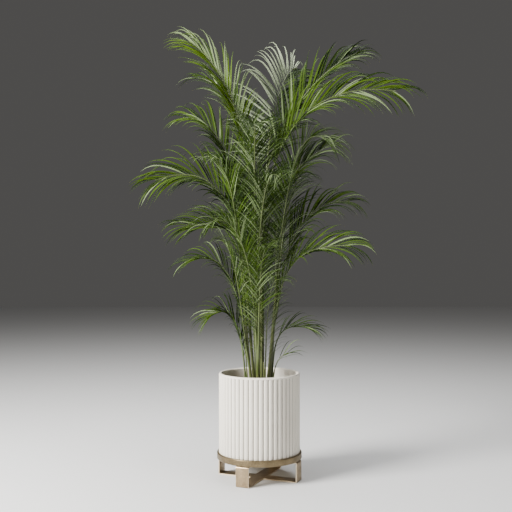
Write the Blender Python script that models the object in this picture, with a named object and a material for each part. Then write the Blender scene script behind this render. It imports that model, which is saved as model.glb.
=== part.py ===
"""A clumping feather palm in a fluted planter on a crossed flat-bar stand.

Units are metres, +Z is up, and the origin is on the underside of the stand, on the planter's axis.
-Y is the front. The palm is a clump of slender canes that rise from the compost. Each frond is one
closed thin blade: a four-sided rib whose two edges carry the leaflets, with the outline cut to the
rib between them.
"""

import math
import random
from dataclasses import dataclass

import bmesh
import bpy
import numpy as np
from mathutils.bvhtree import BVHTree

# Planter
POT_RADIUS = 0.175
POT_WALL = 0.014
POT_FLOOR = 0.016
RIM_HEIGHT = 0.454
REEDS = 52
REED_DEPTH = 0.0042
REED_DROPS = (1.0, 0.11, 0.0, 0.11)
REED_TURN = math.radians(-1.4)
LIP_HEIGHT = 0.007
LIP_ROUND = 0.004
LIP_STEP = 0.002
LIP_DROP = 0.0007
SOIL_DROP = 0.050

# Stand
STAND_HEIGHT = 0.0865
BAR_WIDTH = 0.058
BAR_THICKNESS = 0.005
BAR_BEND = 0.0045
BEND_STEPS = 3
STAND_TURN = math.radians(-23.3)
RING_HEIGHT = 0.028
RING_WALL = 0.0080
RING_ROUND = 0.0035
RING_SEGMENTS = 64

# Clearance that touching pieces keep
FIT = 0.0003

# Derived heights
POT_BASE = STAND_HEIGHT + FIT
SOIL_TOP = RIM_HEIGHT - SOIL_DROP
GROUND = SOIL_TOP + FIT
RING_INNER = POT_RADIUS + FIT
RING_OUTER = RING_INNER + RING_WALL
POT_INNER = POT_RADIUS - POT_WALL

# Palm
CANE_SIDES = 8
CANE_TAPER = 0.22
CANE_BOW = 0.25
CANE_FLARE = 1.25
FLARE_HEIGHT = 0.030
SCAR_SWELL = 1.10
SCAR_SPACING = 0.11
SCAR_BELOW = 0.006
SCAR_ABOVE = 0.004
PETIOLE_RADIUS = 0.0046
RIB_TIP_RADIUS = 0.0014
RIB_TAPER_POWER = 0.8
RIB_TALL = 0.9
STIFF_SHARE = 0.55
PETIOLE_LEAN = 0.014
PETIOLE_RINGS = 6
GROWTH_STEP = 0.03
SWAY = 0.03
SWAY_AT_BOW = 0.3
CURVE_SAMPLES = 200
TANGENT_STEP = 0.01

# Leaflets. Angles are in degrees, and each falls or grows along the leafy part of the rib.
LEAFY_END = 0.985
LEAF_BASE = 0.010
LEAF_THICKNESS = 0.0032
LEAF_THICKNESS_SHARE = 0.0105
LEAF_WIDTH_SHARE = 0.062
LEAF_BEND_AT = 0.45
LENGTH_LOW = 0.45
LENGTH_ARCH = (0.22, 0.70, 0.9)
LENGTH_VARIES = (0.92, 1.06)
SPREAD_END = 18
SPREAD_POWER = 1.1
SPREAD_VARIES = 4
LIFT = (22, 8)
LIFT_VARIES = 5
DROOP = (0.85, 0.65)
DROOP_POWER = 2.3
DROOP_VARIES = (-0.3, 0.4)
CLEAR_MARGIN = 0.0012
ROOT_CLEAR = 0.003
SHORTENED = (1.0, 0.8, 0.6, 0.45)
SEED = 11

# Edges sharper than these angles, in degrees, stay crisp
SHARP = {"planter": 60, "compost": 35, "ring": 40, "bar": 30, "tube": 50, "frond": 40}
SEED_STEP = 100

COLOURS = {
    "planter_white": ((0.80, 0.78, 0.74), 0.6, 0.0),
    "champagne_metal": ((0.56, 0.47, 0.37), 0.35, 0.9),
    "compost": ((0.07, 0.05, 0.035), 0.95, 0.0),
    "cane_green": ((0.33, 0.36, 0.14), 0.45, 0.0),
    "frond_green": ((0.10, 0.20, 0.035), 0.4, 0.0),
}


@dataclass
class Cane:
    """A cane of the clump: where it stands on the compost, where its tip is, and its radius."""

    name: str
    foot: tuple
    tip: tuple
    radius: float

    def at(self, height):
        """The centre of the cane at a height, on a gentle curve that steepens towards the tip."""
        share = (height - GROUND) / (self.tip[2] - GROUND)
        bow = share + CANE_BOW * share * (1 - share)
        return np.array(
            [
                self.foot[0] + (self.tip[0] - self.foot[0]) * bow,
                self.foot[1] + (self.tip[1] - self.foot[1]) * bow,
                height,
            ]
        )

    def radius_at(self, height):
        """The cane's own taper, without its flare and scars."""
        share = (height - GROUND) / (self.tip[2] - GROUND)
        return self.radius * (1 - CANE_TAPER * share)

    def reach_at(self, height, angle):
        """How far the many-sided cane reaches from its centre towards an angle."""
        corner = 2 * math.pi / CANE_SIDES
        off = (angle + corner / 2) % corner - corner / 2
        return self.radius_at(height) * math.cos(off)


@dataclass
class Stub:
    """A petiole that was cut off: where it stands on the compost, where it was cut, and its radius."""

    name: str
    foot: tuple
    tip: tuple
    radius: float


@dataclass
class Frond:
    """One frond, in the upright plane that its azimuth gives.

    Azimuth is in degrees from +X towards +Y. Reaches are measured out from where it leaves its
    cane or the compost. Bow is the point that pulls the rib into its arch, bare is the share of the
    rib with no leaflets, leaf is the longest leaflet, and twist turns the tip about the rib, in
    degrees, so that one row of leaflets stands up and the other hangs. Open is the angle between
    the rib and its first leaflets.
    """

    name: str
    holder: object
    azimuth: float
    leave: float
    bow: tuple
    tip: tuple
    leaf: float
    bare: float
    pairs: int
    twist: float = 0.0
    open: float = 44.0
    size: float = 1.0


CANES = [
    Cane("left_front", (-0.034, -0.020), (-0.060, -0.040, 0.70), 0.0062),
    Cane("left_back", (-0.022, 0.022), (-0.060, 0.040, 0.92), 0.0070),
    Cane("middle_front", (-0.005, -0.012), (-0.018, -0.030, 1.02), 0.0088),
    Cane("middle_back", (0.012, 0.016), (0.010, 0.030, 1.16), 0.0095),
    Cane("right_front", (0.036, -0.014), (0.075, -0.030, 0.86), 0.0080),
    Cane("right_back", (0.044, 0.024), (0.060, 0.034, 0.62), 0.0070),
    Cane("front", (-0.006, -0.046), (-0.009, -0.080, 0.69), 0.0070),
    Cane("back", (0.006, 0.052), (-0.004, 0.092, 0.78), 0.0075),
]

STUBS = [
    Stub("tall", (0.010, -0.028), (0.010, -0.030, 0.607), 0.0055),
    Stub("short", (0.020, -0.064), (0.018, -0.068, 0.505), 0.0038),
]

FRONDS = [
    Frond("left_1", (-0.058, -0.008), 188, GROUND, (0.05, 0.79), (0.168, 0.69), 0.15, 0.46, 7, -60, 38, 1.15),
    Frond("left_2", (-0.052, 0.014), 176, GROUND, (0.06, 1.03), (0.275, 0.93), 0.17, 0.46, 9, -50, 38, 0.75),
    Frond("left_3", "middle_front", 192, 0.80, (0.03, 1.12), (0.30, 1.085), 0.21, 0.28, 12, -80, 36),
    Frond("left_4", "left_back", 186, 0.86, (0.10, 1.39), (0.385, 1.285), 0.24, 0.30, 11, -85, 40),
    Frond("left_5", "left_back", 165, 0.92, (0.09, 1.58), (0.29, 1.575), 0.20, 0.38, 10, -80, 20),
    Frond("left_6", "middle_front", 172, 1.02, (0.085, 1.75), (0.29, 1.89), 0.23, 0.34, 11, -100, 26),
    Frond("left_7", "left_front", 238, 0.70, (0.08, 1.36), (0.23, 1.34), 0.23, 0.40, 10, -20, 44),
    Frond("left_8", "left_front", 225, 0.56, (0.07, 1.03), (0.18, 1.03), 0.17, 0.38, 8, -50, 44, 0.8),
    Frond("right_1", (0.054, -0.022), 350, GROUND, (0.006, 0.515), (0.07, 0.542), 0.12, 0.70, 2, 90, 28),
    Frond("right_2", (0.052, -0.004), 350, GROUND, (0.00, 0.69), (0.18, 0.645), 0.14, 0.56, 5, 50, 30, 1.1),
    Frond("right_3", "right_front", 345, 0.74, (0.07, 1.01), (0.32, 1.00), 0.22, 0.26, 11, 80, 42),
    Frond("right_4", "right_back", 12, 0.62, (0.10, 1.21), (0.345, 1.20), 0.22, 0.50, 9, 60, 32),
    Frond("right_5", "right_front", 62, 0.80, (0.09, 1.28), (0.24, 1.33), 0.20, 0.38, 9, 40, 40),
    Frond("right_6", "middle_back", 20, 0.965, (0.12, 1.36), (0.345, 1.47), 0.22, 0.34, 10, 50, 34),
    Frond("right_7", "right_front", 315, 0.86, (0.12, 1.58), (0.30, 1.40), 0.22, 0.40, 10, 0, 44),
    Frond("right_8", "middle_back", 352, 1.10, (0.18, 1.725), (0.565, 1.655), 0.25, 0.28, 12, 90, 42),
    Frond("right_9", "middle_back", 20, 1.16, (0.275, 1.80), (0.48, 1.89), 0.25, 0.32, 11, 75, 28),
    Frond("right_10", "middle_back", 55, 1.075, (0.15, 1.82), (0.32, 1.84), 0.28, 0.34, 11, 70, 60),
    Frond("front_1", "middle_front", 268, 0.94, (0.10, 1.56), (0.34, 1.46), 0.23, 0.34, 10, -14, 44),
    Frond("front_2", "front", 284, 0.69, (0.10, 1.36), (0.32, 1.26), 0.22, 0.42, 10, 18, 44),
    Frond("front_3", "front", 232, 0.60, (0.10, 1.18), (0.30, 1.08), 0.21, 0.38, 9, -28, 44),
    Frond("front_4", "front", 288, 0.54, (0.06, 1.02), (0.22, 0.99), 0.16, 0.36, 8, 16, 40),
    Frond("front_5", (0.024, -0.046), 290, GROUND, (0.03, 0.88), (0.17, 0.86), 0.16, 0.46, 7, -12, 44, 0.8),
    Frond("back_1", "back", 92, 0.78, (0.12, 1.44), (0.42, 1.32), 0.23, 0.36, 10, 16, 44),
    Frond("back_2", "back", 124, 0.70, (0.10, 1.22), (0.38, 1.12), 0.22, 0.36, 10, -34, 44),
    Frond("back_3", "back", 78, 0.635, (0.10, 1.10), (0.34, 1.00), 0.16, 0.36, 9, 26, 40),
    Frond("back_4", "left_back", 120, 0.80, (0.14, 1.44), (0.37, 1.42), 0.24, 0.36, 10, 36, 44),
    Frond("back_5", "right_back", 84, 0.56, (0.12, 1.14), (0.37, 1.12), 0.16, 0.40, 9, -36, 42),
    Frond("back_6", "middle_back", 104, 1.00, (0.14, 1.70), (0.40, 1.68), 0.24, 0.36, 10, 14, 44),
    Frond("back_7", "middle_back", 142, 1.08, (0.12, 1.74), (0.36, 1.78), 0.24, 0.36, 10, -36, 44),
    Frond("back_8", (-0.018, 0.066), 104, GROUND, (0.06, 0.84), (0.26, 0.82), 0.16, 0.46, 7, 16, 44, 0.8),
]


def unit(vector):
    """The vector at length 1."""
    return vector / np.linalg.norm(vector)


def material(name):
    """The shared material of that name, made on first use."""
    if name in bpy.data.materials:
        return bpy.data.materials[name]
    colour, roughness, metallic = COLOURS[name]
    made = bpy.data.materials.new(name)
    made.use_nodes = True
    shader = made.node_tree.nodes["Principled BSDF"]
    shader.inputs["Base Color"].default_value = (*colour, 1.0)
    shader.inputs["Roughness"].default_value = roughness
    shader.inputs["Metallic"].default_value = metallic
    return made


def solid(name, points, faces, finish, kind):
    """One object from points and faces, with its faces turned outwards."""
    mesh = bpy.data.meshes.new(name)
    mesh.from_pydata([tuple(map(float, p)) for p in points], [], faces)
    shape = bmesh.new()
    shape.from_mesh(mesh)
    bmesh.ops.recalc_face_normals(shape, faces=shape.faces)
    shape.to_mesh(mesh)
    shape.free()
    mesh.shade_smooth()
    mesh.set_sharp_from_angle(angle=math.radians(SHARP[kind]))
    mesh.materials.append(material(finish))
    made = bpy.data.objects.new(name, mesh)
    bpy.context.scene.collection.objects.link(made)
    return made


def band(low, high):
    """Quads between two closed rings of vertex numbers of equal length."""
    count = len(low)
    return [(low[i], low[(i + 1) % count], high[(i + 1) % count], high[i]) for i in range(count)]


def reeded_radius(index):
    """The radius of the reeded wall at one of four points on each reed: valley, flank, crest, flank."""
    return POT_RADIUS - REED_DEPTH * REED_DROPS[index % 4]


def circle(radius, height, count):
    """Points round the planter's axis. The radius may be a number or a function of the point."""
    points = []
    for index in range(count):
        angle = 2 * math.pi * index / count + REED_TURN
        reach = radius(index) if callable(radius) else radius
        points.append((reach * math.cos(angle), reach * math.sin(angle), height))
    return points


def build_planter():
    """The planter: reeded outside up to a plain rounded lip, plain inside, with a floor."""
    fine = len(REED_DROPS) * REEDS
    outer = [
        circle(reeded_radius, POT_BASE, fine),
        circle(reeded_radius, RIM_HEIGHT - LIP_HEIGHT, fine),
        circle(POT_RADIUS - LIP_DROP, RIM_HEIGHT - LIP_HEIGHT + LIP_STEP, fine),
        circle(POT_RADIUS - LIP_ROUND, RIM_HEIGHT, fine),
    ]
    inner = [
        circle(POT_INNER + LIP_ROUND, RIM_HEIGHT, REEDS),
        circle(POT_INNER, RIM_HEIGHT - LIP_ROUND, REEDS),
        circle(POT_INNER, POT_BASE + POT_FLOOR, REEDS),
    ]
    points = []
    rings = []
    for ring in outer + inner:
        rings.append(list(range(len(points), len(points) + len(ring))))
        points.extend(ring)
    faces = [tuple(reversed(rings[0]))]
    for low, high in zip(rings[:3], rings[1:4]):
        faces += band(low, high)
    wide, narrow = rings[3], rings[4]
    for index in range(REEDS):
        for step in range(-2, 2):
            first = (4 * index + step) % fine
            faces.append((wide[first], wide[(first + 1) % fine], narrow[index]))
        faces.append((wide[4 * index + 2], narrow[(index + 1) % REEDS], narrow[index]))
    faces += band(rings[4], rings[5]) + band(rings[5], rings[6])
    faces.append(tuple(rings[6]))
    solid("planter", points, faces, "planter_white", "planter")


def build_compost():
    """The potting compost that fills the planter, with a flat top where the canes stand."""
    radius = POT_INNER - FIT
    low = circle(radius, POT_BASE + POT_FLOOR + FIT, REEDS)
    high = circle(radius, SOIL_TOP, REEDS)
    ring = list(range(REEDS))
    top = [REEDS + i for i in ring]
    faces = [tuple(reversed(ring)), *band(ring, top), tuple(top)]
    solid("compost", low + high, faces, "compost", "compost")


def build_ring(name, low, high):
    """The stand's ring: a turned band whose outer edges are rounded."""
    half = RING_ROUND * (1 - math.sqrt(0.5))
    section = [
        (RING_INNER, low),
        (RING_OUTER - RING_ROUND, low),
        (RING_OUTER - half, low + half),
        (RING_OUTER, low + RING_ROUND),
        (RING_OUTER, high - RING_ROUND),
        (RING_OUTER - half, high - half),
        (RING_OUTER - RING_ROUND, high),
        (RING_INNER, high),
    ]
    points = []
    for index in range(RING_SEGMENTS):
        angle = 2 * math.pi * index / RING_SEGMENTS
        points += [(r * math.cos(angle), r * math.sin(angle), z) for r, z in section]
    size = len(section)
    rings = [list(range(i * size, (i + 1) * size)) for i in range(RING_SEGMENTS)]
    faces = []
    for index in range(RING_SEGMENTS):
        faces += band(rings[index], rings[(index + 1) % RING_SEGMENTS])
    solid(name, points, faces, "champagne_metal", "ring")


def rounded(corners, radius, closed):
    """A path in the XZ plane through square corners, each turned on an arc of the radius."""
    path = []
    count = len(corners)
    for index, corner in enumerate(corners):
        here = np.array(corner)
        if not closed and index in (0, count - 1):
            path.append(here)
            continue
        before = unit(np.array(corners[index - 1]) - here)
        after = unit(np.array(corners[(index + 1) % count]) - here)
        centre = here + (before + after) * radius
        for step in range(BEND_STEPS + 1):
            turn = step / BEND_STEPS * math.pi / 2
            path.append(centre - after * radius * math.cos(turn) - before * radius * math.sin(turn))
    return path


def bent_bar(name, corners, closed):
    """A flat bar bent along a path in the XZ plane, as wide as the bar in Y."""
    path = rounded(corners, BAR_BEND, closed)
    count = len(path)
    points = []
    for index, here in enumerate(path):
        before = path[index - 1] if closed or index else here
        after = path[(index + 1) % count] if closed or index < count - 1 else here
        along = unit(after - before)
        across = np.array([along[1], -along[0]]) * BAR_THICKNESS / 2
        if closed or 0 < index < count - 1:
            entering = unit(here - before)
            across = across / float(np.dot(entering, along))
        for side, edge in ((1, -1), (1, 1), (-1, 1), (-1, -1)):
            x, z = here + side * across
            points.append((x, edge * BAR_WIDTH / 2, z))
    rings = [list(range(4 * i, 4 * i + 4)) for i in range(count)]
    faces = []
    for index in range(count if closed else count - 1):
        faces += band(rings[index], rings[(index + 1) % count])
    if not closed:
        faces += [tuple(reversed(rings[0])), tuple(rings[-1])]
    return solid(name, points, faces, "champagne_metal", "bar")


def build_stand():
    """Two flat-bar loops crossed under a ring. One loop is whole, and the other is two halves that
    meet its edges."""
    half = BAR_THICKNESS / 2
    reach = RING_OUTER - half
    low, high = half, STAND_HEIGHT - half
    inner = BAR_WIDTH / 2 + FIT
    whole = [(-reach, low), (reach, low), (reach, high), (-reach, high)]
    right = [(inner, low), (reach, low), (reach, high), (inner, high)]
    turns = {
        "stand_loop": (whole, True, STAND_TURN + math.pi / 2),
        "stand_half_right": (right, False, STAND_TURN),
        "stand_half_left": (right, False, STAND_TURN + math.pi),
    }
    for name, (corners, closed, turn) in turns.items():
        bar = bent_bar(name, corners, closed)
        bar.rotation_euler[2] = turn
    low_edge = STAND_HEIGHT + FIT
    build_ring("stand_ring", low_edge, low_edge + RING_HEIGHT)


def cane_rings(cane):
    """Heights and radii up the cane: the flare at its foot, and a swelling at each leaf scar."""
    top = cane.tip[2]
    rings = [(GROUND, cane.radius * CANE_FLARE), (GROUND + FLARE_HEIGHT, cane.radius)]
    height = GROUND + SCAR_SPACING
    while height < top - SCAR_SPACING / 2:
        radius = cane.radius_at(height)
        rings.append((height - SCAR_BELOW, radius))
        rings.append((height, radius * SCAR_SWELL))
        rings.append((height + SCAR_ABOVE, radius))
        height += SCAR_SPACING
    rings.append((top, cane.radius_at(top)))
    return rings


def upright_tube(name, stations):
    """A tube with level ends from its stations, each a centre and a radius."""
    points = []
    rings = []
    for centre, radius in stations:
        rings.append(list(range(len(points), len(points) + CANE_SIDES)))
        for index in range(CANE_SIDES):
            angle = 2 * math.pi * index / CANE_SIDES
            points.append(centre + radius * np.array([math.cos(angle), math.sin(angle), 0]))
    faces = [tuple(reversed(rings[0])), tuple(rings[-1])]
    for low, high in zip(rings[:-1], rings[1:]):
        faces += band(low, high)
    return solid(name, points, faces, "cane_green", "tube")


def build_cane(cane):
    """A slender tapering tube from a flat cut on the compost to a flat tip."""
    stations = [(cane.at(height), radius) for height, radius in cane_rings(cane)]
    return upright_tube(f"cane_{cane.name}", stations)


def build_stub(stub):
    """A straight tube from the compost to its level cut, a little splayed at the foot."""
    foot, tip = np.array([*stub.foot, GROUND]), np.array(stub.tip)
    splayed = foot + (tip - foot) * FLARE_HEIGHT / (tip[2] - GROUND)
    stations = [
        (foot, stub.radius * CANE_FLARE),
        (splayed, stub.radius),
        (tip, stub.radius * (1 - CANE_TAPER)),
    ]
    return upright_tube(f"stub_{stub.name}", stations)


class Rib:
    """The curved rib of a frond, with its frame at any share of its length."""

    def __init__(self, frond, sway):
        angle = math.radians(frond.azimuth)
        self.out = np.array([math.cos(angle), math.sin(angle), 0.0])
        self.side = np.array([-math.sin(angle), math.cos(angle), 0.0])
        self.twist = math.radians(frond.twist)
        self.base_radius = PETIOLE_RADIUS * frond.size
        self.tip_radius = RIB_TIP_RADIUS * frond.size ** 0.5
        start, growing = self.start_of(frond)
        rise = STIFF_SHARE * (frond.bow[1] - start[2])
        first = start + growing * rise + self.out * PETIOLE_LEAN
        second = start + self.out * frond.bow[0] + self.side * sway * SWAY_AT_BOW
        second[2] = frond.bow[1]
        last = start + self.out * frond.tip[0] + self.side * sway
        last[2] = frond.tip[1]
        self.controls = (start, first, second, last)
        shares = np.linspace(0, 1, CURVE_SAMPLES)
        line = np.array([self.bezier(t) for t in shares])
        steps = np.linalg.norm(np.diff(line, axis=0), axis=1)
        self.lengths = np.concatenate([[0], np.cumsum(steps)])
        self.shares = shares
        self.length = float(self.lengths[-1])
        self.half_base = LEAF_BASE / 2 / self.length
        self.petiole = [frond.bare * i / PETIOLE_RINGS for i in range(PETIOLE_RINGS)]
        leafy = LEAFY_END - self.half_base - frond.bare
        self.leafy = [frond.bare + leafy * i / (frond.pairs - 1) for i in range(frond.pairs)]

    def start_of(self, frond):
        """Where the petiole begins, and the direction that it grows in there."""
        if isinstance(frond.holder, tuple):
            return np.array([*frond.holder, frond.leave]), np.array([0.0, 0.0, 1.0])
        cane = next(c for c in CANES if c.name == frond.holder)
        growing = unit(cane.at(frond.leave) - cane.at(frond.leave - GROWTH_STEP))
        if frond.leave >= cane.tip[2]:
            return cane.at(frond.leave) + np.array([0, 0, FIT]), growing
        reach = cane.reach_at(frond.leave, math.radians(frond.azimuth)) + RIB_TALL * self.base_radius
        return cane.at(frond.leave) + self.out * (reach + FIT), growing

    def bezier(self, t):
        """The cubic curve through start and tip that the two middle controls pull."""
        a, b, c, d = self.controls
        s = 1 - t
        return s**3 * a + 3 * s * s * t * b + 3 * s * t * t * c + t**3 * d

    def frame(self, share):
        """Point, direction, side and upper normal at a share of the length."""
        t = float(np.interp(share * self.length, self.lengths, self.shares))
        low, high = max(0.0, t - TANGENT_STEP), min(1.0, t + TANGENT_STEP)
        along = unit(self.bezier(high) - self.bezier(low))
        side = unit(self.side - np.dot(self.side, along) * along)
        up = np.cross(along, side)
        turn = self.twist * share
        turned = math.cos(turn) * side + math.sin(turn) * up
        return self.bezier(t), along, turned, np.cross(along, turned)

    def radius(self, share):
        """Half the rib's width: it tapers from the petiole to the tip."""
        return self.base_radius + (self.tip_radius - self.base_radius) * share**RIB_TAPER_POWER

    def corners(self, share):
        """The four corners of the section, as low left, high left, high right, low right.

        The foot is cut flat, so it stands on the compost or on a cane's flat tip.
        """
        point, _, side, up = self.frame(share)
        if share == 0:
            side, up = self.side, -self.out
        wide = self.radius(share)
        tall = RIB_TALL * wide
        return [point + side * wide * s + up * tall * u for s, u in ((1, -1), (1, 1), (-1, 1), (-1, -1))]


def side_face(low, high, sign):
    """The corners of the side face between two sections, in the order that a leaflet takes."""
    bottom, top = (0, 1) if sign > 0 else (3, 2)
    return [low[bottom], low[top], high[top], high[bottom]]


def leaf_line(rib, share, sign, length, spread, lift, droop, steps):
    """The middle line of a leaflet, bending down under its own weight, and the direction across it.

    It sets out between the rib's direction and its side by the spread, is lifted towards the upper
    normal, and turns down by the droop times a power of the way out.
    """
    point, along, side, up = rib.frame(share)
    wing = math.cos(lift) * sign * side + math.sin(lift) * up
    heading = math.cos(spread) * along + math.sin(spread) * wing
    across = math.sin(spread) * along - math.cos(spread) * wing
    start = point + sign * side * rib.radius(share)
    line, directions = [start], [heading]
    for low, high in zip(steps[:-1], steps[1:]):
        middle = (low + high) / 2
        bent = unit(heading + np.array([0, 0, -droop * middle**DROOP_POWER]))
        line.append(line[-1] + bent * length * (high - low))
        directions.append(bent)
    return line, directions, across


def leaf_shape(along):
    """Length of a leaflet as a share of the longest, along the leafy part: it peaks before halfway."""
    first, span, power = LENGTH_ARCH
    return LENGTH_LOW + (1 - LENGTH_LOW) * math.sin(math.pi * (first + span * along)) ** power


class Leaflet:
    """One leaflet of a frond: its bend and tip, and the body that stands for it in clearance tests."""

    def __init__(self, rib, share, sign, length, angles):
        spread, lift, droop = angles
        line, directions, across = leaf_line(
            rib, share, sign, length, spread, lift, droop, (0.0, LEAF_BEND_AT, 1.0)
        )
        self.start, self.bend, self.tip = line
        middle = unit(directions[1] + directions[2])
        self.across = unit(across - np.dot(across, middle) * middle)
        self.normal = np.cross(middle, self.across) * -sign
        self.half_width = length * LEAF_WIDTH_SHARE / 2
        self.half_thickness = max(LEAF_THICKNESS, length * LEAF_THICKNESS_SHARE) / 2
        low, high = rib.corners(share - rib.half_base), rib.corners(share + rib.half_base)
        self.root = side_face(low, high, sign)

    def bend_ring(self, extra=0.0):
        """The four corners at the bend, in the order of the rib's side face."""
        wide = self.across * (self.half_width + extra)
        thick = self.normal * (self.half_thickness + extra)
        return [self.bend + w * wide + t * thick for w, t in ((-1, -1), (-1, 1), (1, 1), (1, -1))]

    def tester(self):
        """A slightly swollen copy of the leaflet, just clear of its root, as a tree of triangles."""
        middle = sum(self.root) / 4
        away = unit(self.bend - middle) * ROOT_CLEAR
        base = [p + away + unit(p - middle) * CLEAR_MARGIN for p in self.root]
        end = self.tip + unit(self.tip - self.bend) * CLEAR_MARGIN
        points = [tuple(p) for p in (*base, *self.bend_ring(CLEAR_MARGIN), end)]
        faces = [(0, 1, 2), (0, 2, 3)]
        for a, b, c, d in band([0, 1, 2, 3], [4, 5, 6, 7]):
            faces += [(a, b, c), (a, c, d)]
        faces += [(4, 5, 8), (5, 6, 8), (6, 7, 8), (7, 4, 8)]
        self.box = (np.min(points, axis=0), np.max(points, axis=0))
        return BVHTree.FromPolygons(points, faces)


def tube_tree(rib):
    """The rib alone as a tree of triangles, for clearance tests."""
    points = []
    faces = []
    shares = [*rib.petiole, *rib.leafy, 1.0]
    for index, share in enumerate(shares):
        points += [tuple(p) for p in rib.corners(share)]
        if index:
            low = list(range(4 * index - 4, 4 * index))
            high = list(range(4 * index, 4 * index + 4))
            for a, b, c, d in band(low, high):
                faces += [(a, b, c), (a, c, d)]
    box = (np.min(points, axis=0), np.max(points, axis=0))
    return BVHTree.FromPolygons(points, faces), box


def object_tree(made):
    """A finished object as a tree of triangles, for clearance tests."""
    points = [tuple(made.matrix_basis @ v.co) for v in made.data.vertices]
    faces = [tuple(p.vertices) for p in made.data.polygons]
    return BVHTree.FromPolygons(points, faces), (np.min(points, axis=0), np.max(points, axis=0))


def touches(tree, box, others):
    """Whether the tree meets any of the others, each a tree and its box."""
    low, high = box
    for other, (other_low, other_high) in others:
        if (low <= other_high).all() and (high >= other_low).all() and tree.overlap(other):
            return True
    return False


def leaf_places(frond, rib, rng):
    """Where each pair of leaflets sits, how long it is, and how it is held."""
    places = []
    for index, share in enumerate(rib.leafy):
        along = index / (frond.pairs - 1)
        length = frond.leaf * leaf_shape(along) * rng.uniform(*LENGTH_VARIES)
        spread = frond.open - (frond.open - SPREAD_END) * along**SPREAD_POWER
        spread += rng.uniform(-SPREAD_VARIES, SPREAD_VARIES)
        lift = LIFT[0] - LIFT[1] * along + rng.uniform(-LIFT_VARIES, LIFT_VARIES)
        droop = DROOP[0] + DROOP[1] * along + rng.uniform(*DROOP_VARIES)
        places.append((share, length, (math.radians(spread), math.radians(lift), droop)))
    return places


def grow(frond, rib, rng, others, leaves_before):
    """The leaflets of a frond that have room, each shortened until it clears its neighbours."""
    kept = []
    own = []
    for share, length, angles in leaf_places(frond, rib, rng):
        for sign in (1, -1):
            for part in SHORTENED:
                leaflet = Leaflet(rib, share, sign, length * part, angles)
                tree = leaflet.tester()
                clear = not touches(tree, leaflet.box, others + leaves_before + own)
                if clear:
                    kept.append((share, sign, leaflet))
                    own.append((tree, leaflet.box))
                    break
    return kept, own


def build_frond(frond, rib, kept):
    """The closed blade: rings along the rib, with a leaflet drawn out of each leafy side face."""
    shares = list(rib.petiole)
    leafy = {}
    for share in rib.leafy:
        for _, sign, leaflet in [k for k in kept if k[0] == share]:
            leafy[(len(shares), sign)] = leaflet
        shares += [share - rib.half_base, share + rib.half_base]
    shares.append(1.0)
    points = []
    for share in shares:
        points += rib.corners(share)
    faces = [(3, 2, 1, 0), tuple(range(len(points) - 4, len(points)))]
    for index in range(len(shares) - 1):
        low = [4 * index + i for i in range(4)]
        high = [4 * index + 4 + i for i in range(4)]
        faces += [(low[1], low[2], high[2], high[1]), (low[3], low[0], high[0], high[3])]
        for sign in (1, -1):
            root = side_face(low, high, sign)
            leaflet = leafy.get((index, sign))
            if leaflet is None:
                faces.append(tuple(root))
                continue
            bend = list(range(len(points), len(points) + 4))
            points += leaflet.bend_ring()
            points.append(leaflet.tip)
            faces += band(root, bend)
            faces += [(bend[i], bend[(i + 1) % 4], bend[3] + 1) for i in range(4)]
    return solid(f"frond_{frond.name}", points, faces, "frond_green", "frond")


def planned_ribs():
    """Every frond's rib, each with its own slight sway to one side."""
    rng = random.Random(SEED)
    return {frond.name: Rib(frond, rng.uniform(-SWAY, SWAY)) for frond in FRONDS}


def build_palm():
    """The canes and stubs, then the fronds, whose leaflets keep clear of all that stands before them."""
    limbs = [object_tree(build_cane(cane)) for cane in CANES]
    limbs += [object_tree(build_stub(stub)) for stub in STUBS]
    limbs.append(object_tree(bpy.data.objects["planter"]))
    limbs.append(object_tree(bpy.data.objects["compost"]))
    ribs = planned_ribs()
    trees = {name: tube_tree(rib) for name, rib in ribs.items()}
    leaves = []
    for index, frond in enumerate(FRONDS):
        rng = random.Random(SEED + SEED_STEP * index)
        others = limbs + [tree for name, tree in trees.items() if name != frond.name]
        kept, own = grow(frond, ribs[frond.name], rng, others, leaves)
        leaves += own
        build_frond(frond, ribs[frond.name], kept)


def main():
    """Clears the scene and builds the planter, its stand and the palm."""
    for old in list(bpy.data.objects):
        bpy.data.objects.remove(old)
    build_stand()
    build_planter()
    build_compost()
    build_palm()


main()
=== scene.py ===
"""The finished look of a clumping feather palm in a reeded planter on a crossed flat-bar stand.

Units are metres, +Z is up, and -Y is the front. The origin is on the underside of the stand, on the
planter's axis. Canes, ribs and leaflets follow the same growth rule as the solids, carried to more
and finer leaflets.
"""

from __future__ import annotations

import logging
import math
import random
from dataclasses import dataclass, field
from enum import Enum

import bpy
import numpy as np
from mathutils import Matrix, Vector

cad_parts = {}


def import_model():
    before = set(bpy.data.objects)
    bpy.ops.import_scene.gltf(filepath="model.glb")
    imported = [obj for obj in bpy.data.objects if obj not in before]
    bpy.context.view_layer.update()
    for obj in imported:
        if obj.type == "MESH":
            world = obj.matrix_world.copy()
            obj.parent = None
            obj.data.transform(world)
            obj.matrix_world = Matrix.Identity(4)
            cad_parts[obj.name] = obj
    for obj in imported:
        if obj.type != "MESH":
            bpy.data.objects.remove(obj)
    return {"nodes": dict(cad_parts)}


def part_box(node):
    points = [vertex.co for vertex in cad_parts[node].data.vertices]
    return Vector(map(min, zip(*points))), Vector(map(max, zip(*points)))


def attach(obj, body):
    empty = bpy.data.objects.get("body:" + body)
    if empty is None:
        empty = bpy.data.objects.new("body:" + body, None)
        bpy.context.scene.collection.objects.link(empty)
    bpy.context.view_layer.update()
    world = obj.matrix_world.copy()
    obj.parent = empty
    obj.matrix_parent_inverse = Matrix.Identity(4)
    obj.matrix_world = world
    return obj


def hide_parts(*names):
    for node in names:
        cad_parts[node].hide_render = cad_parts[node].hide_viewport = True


LOG = logging.getLogger("palm")

Array = np.ndarray
Colour = tuple[float, float, float]
Place = tuple[float, float, float]

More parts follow.
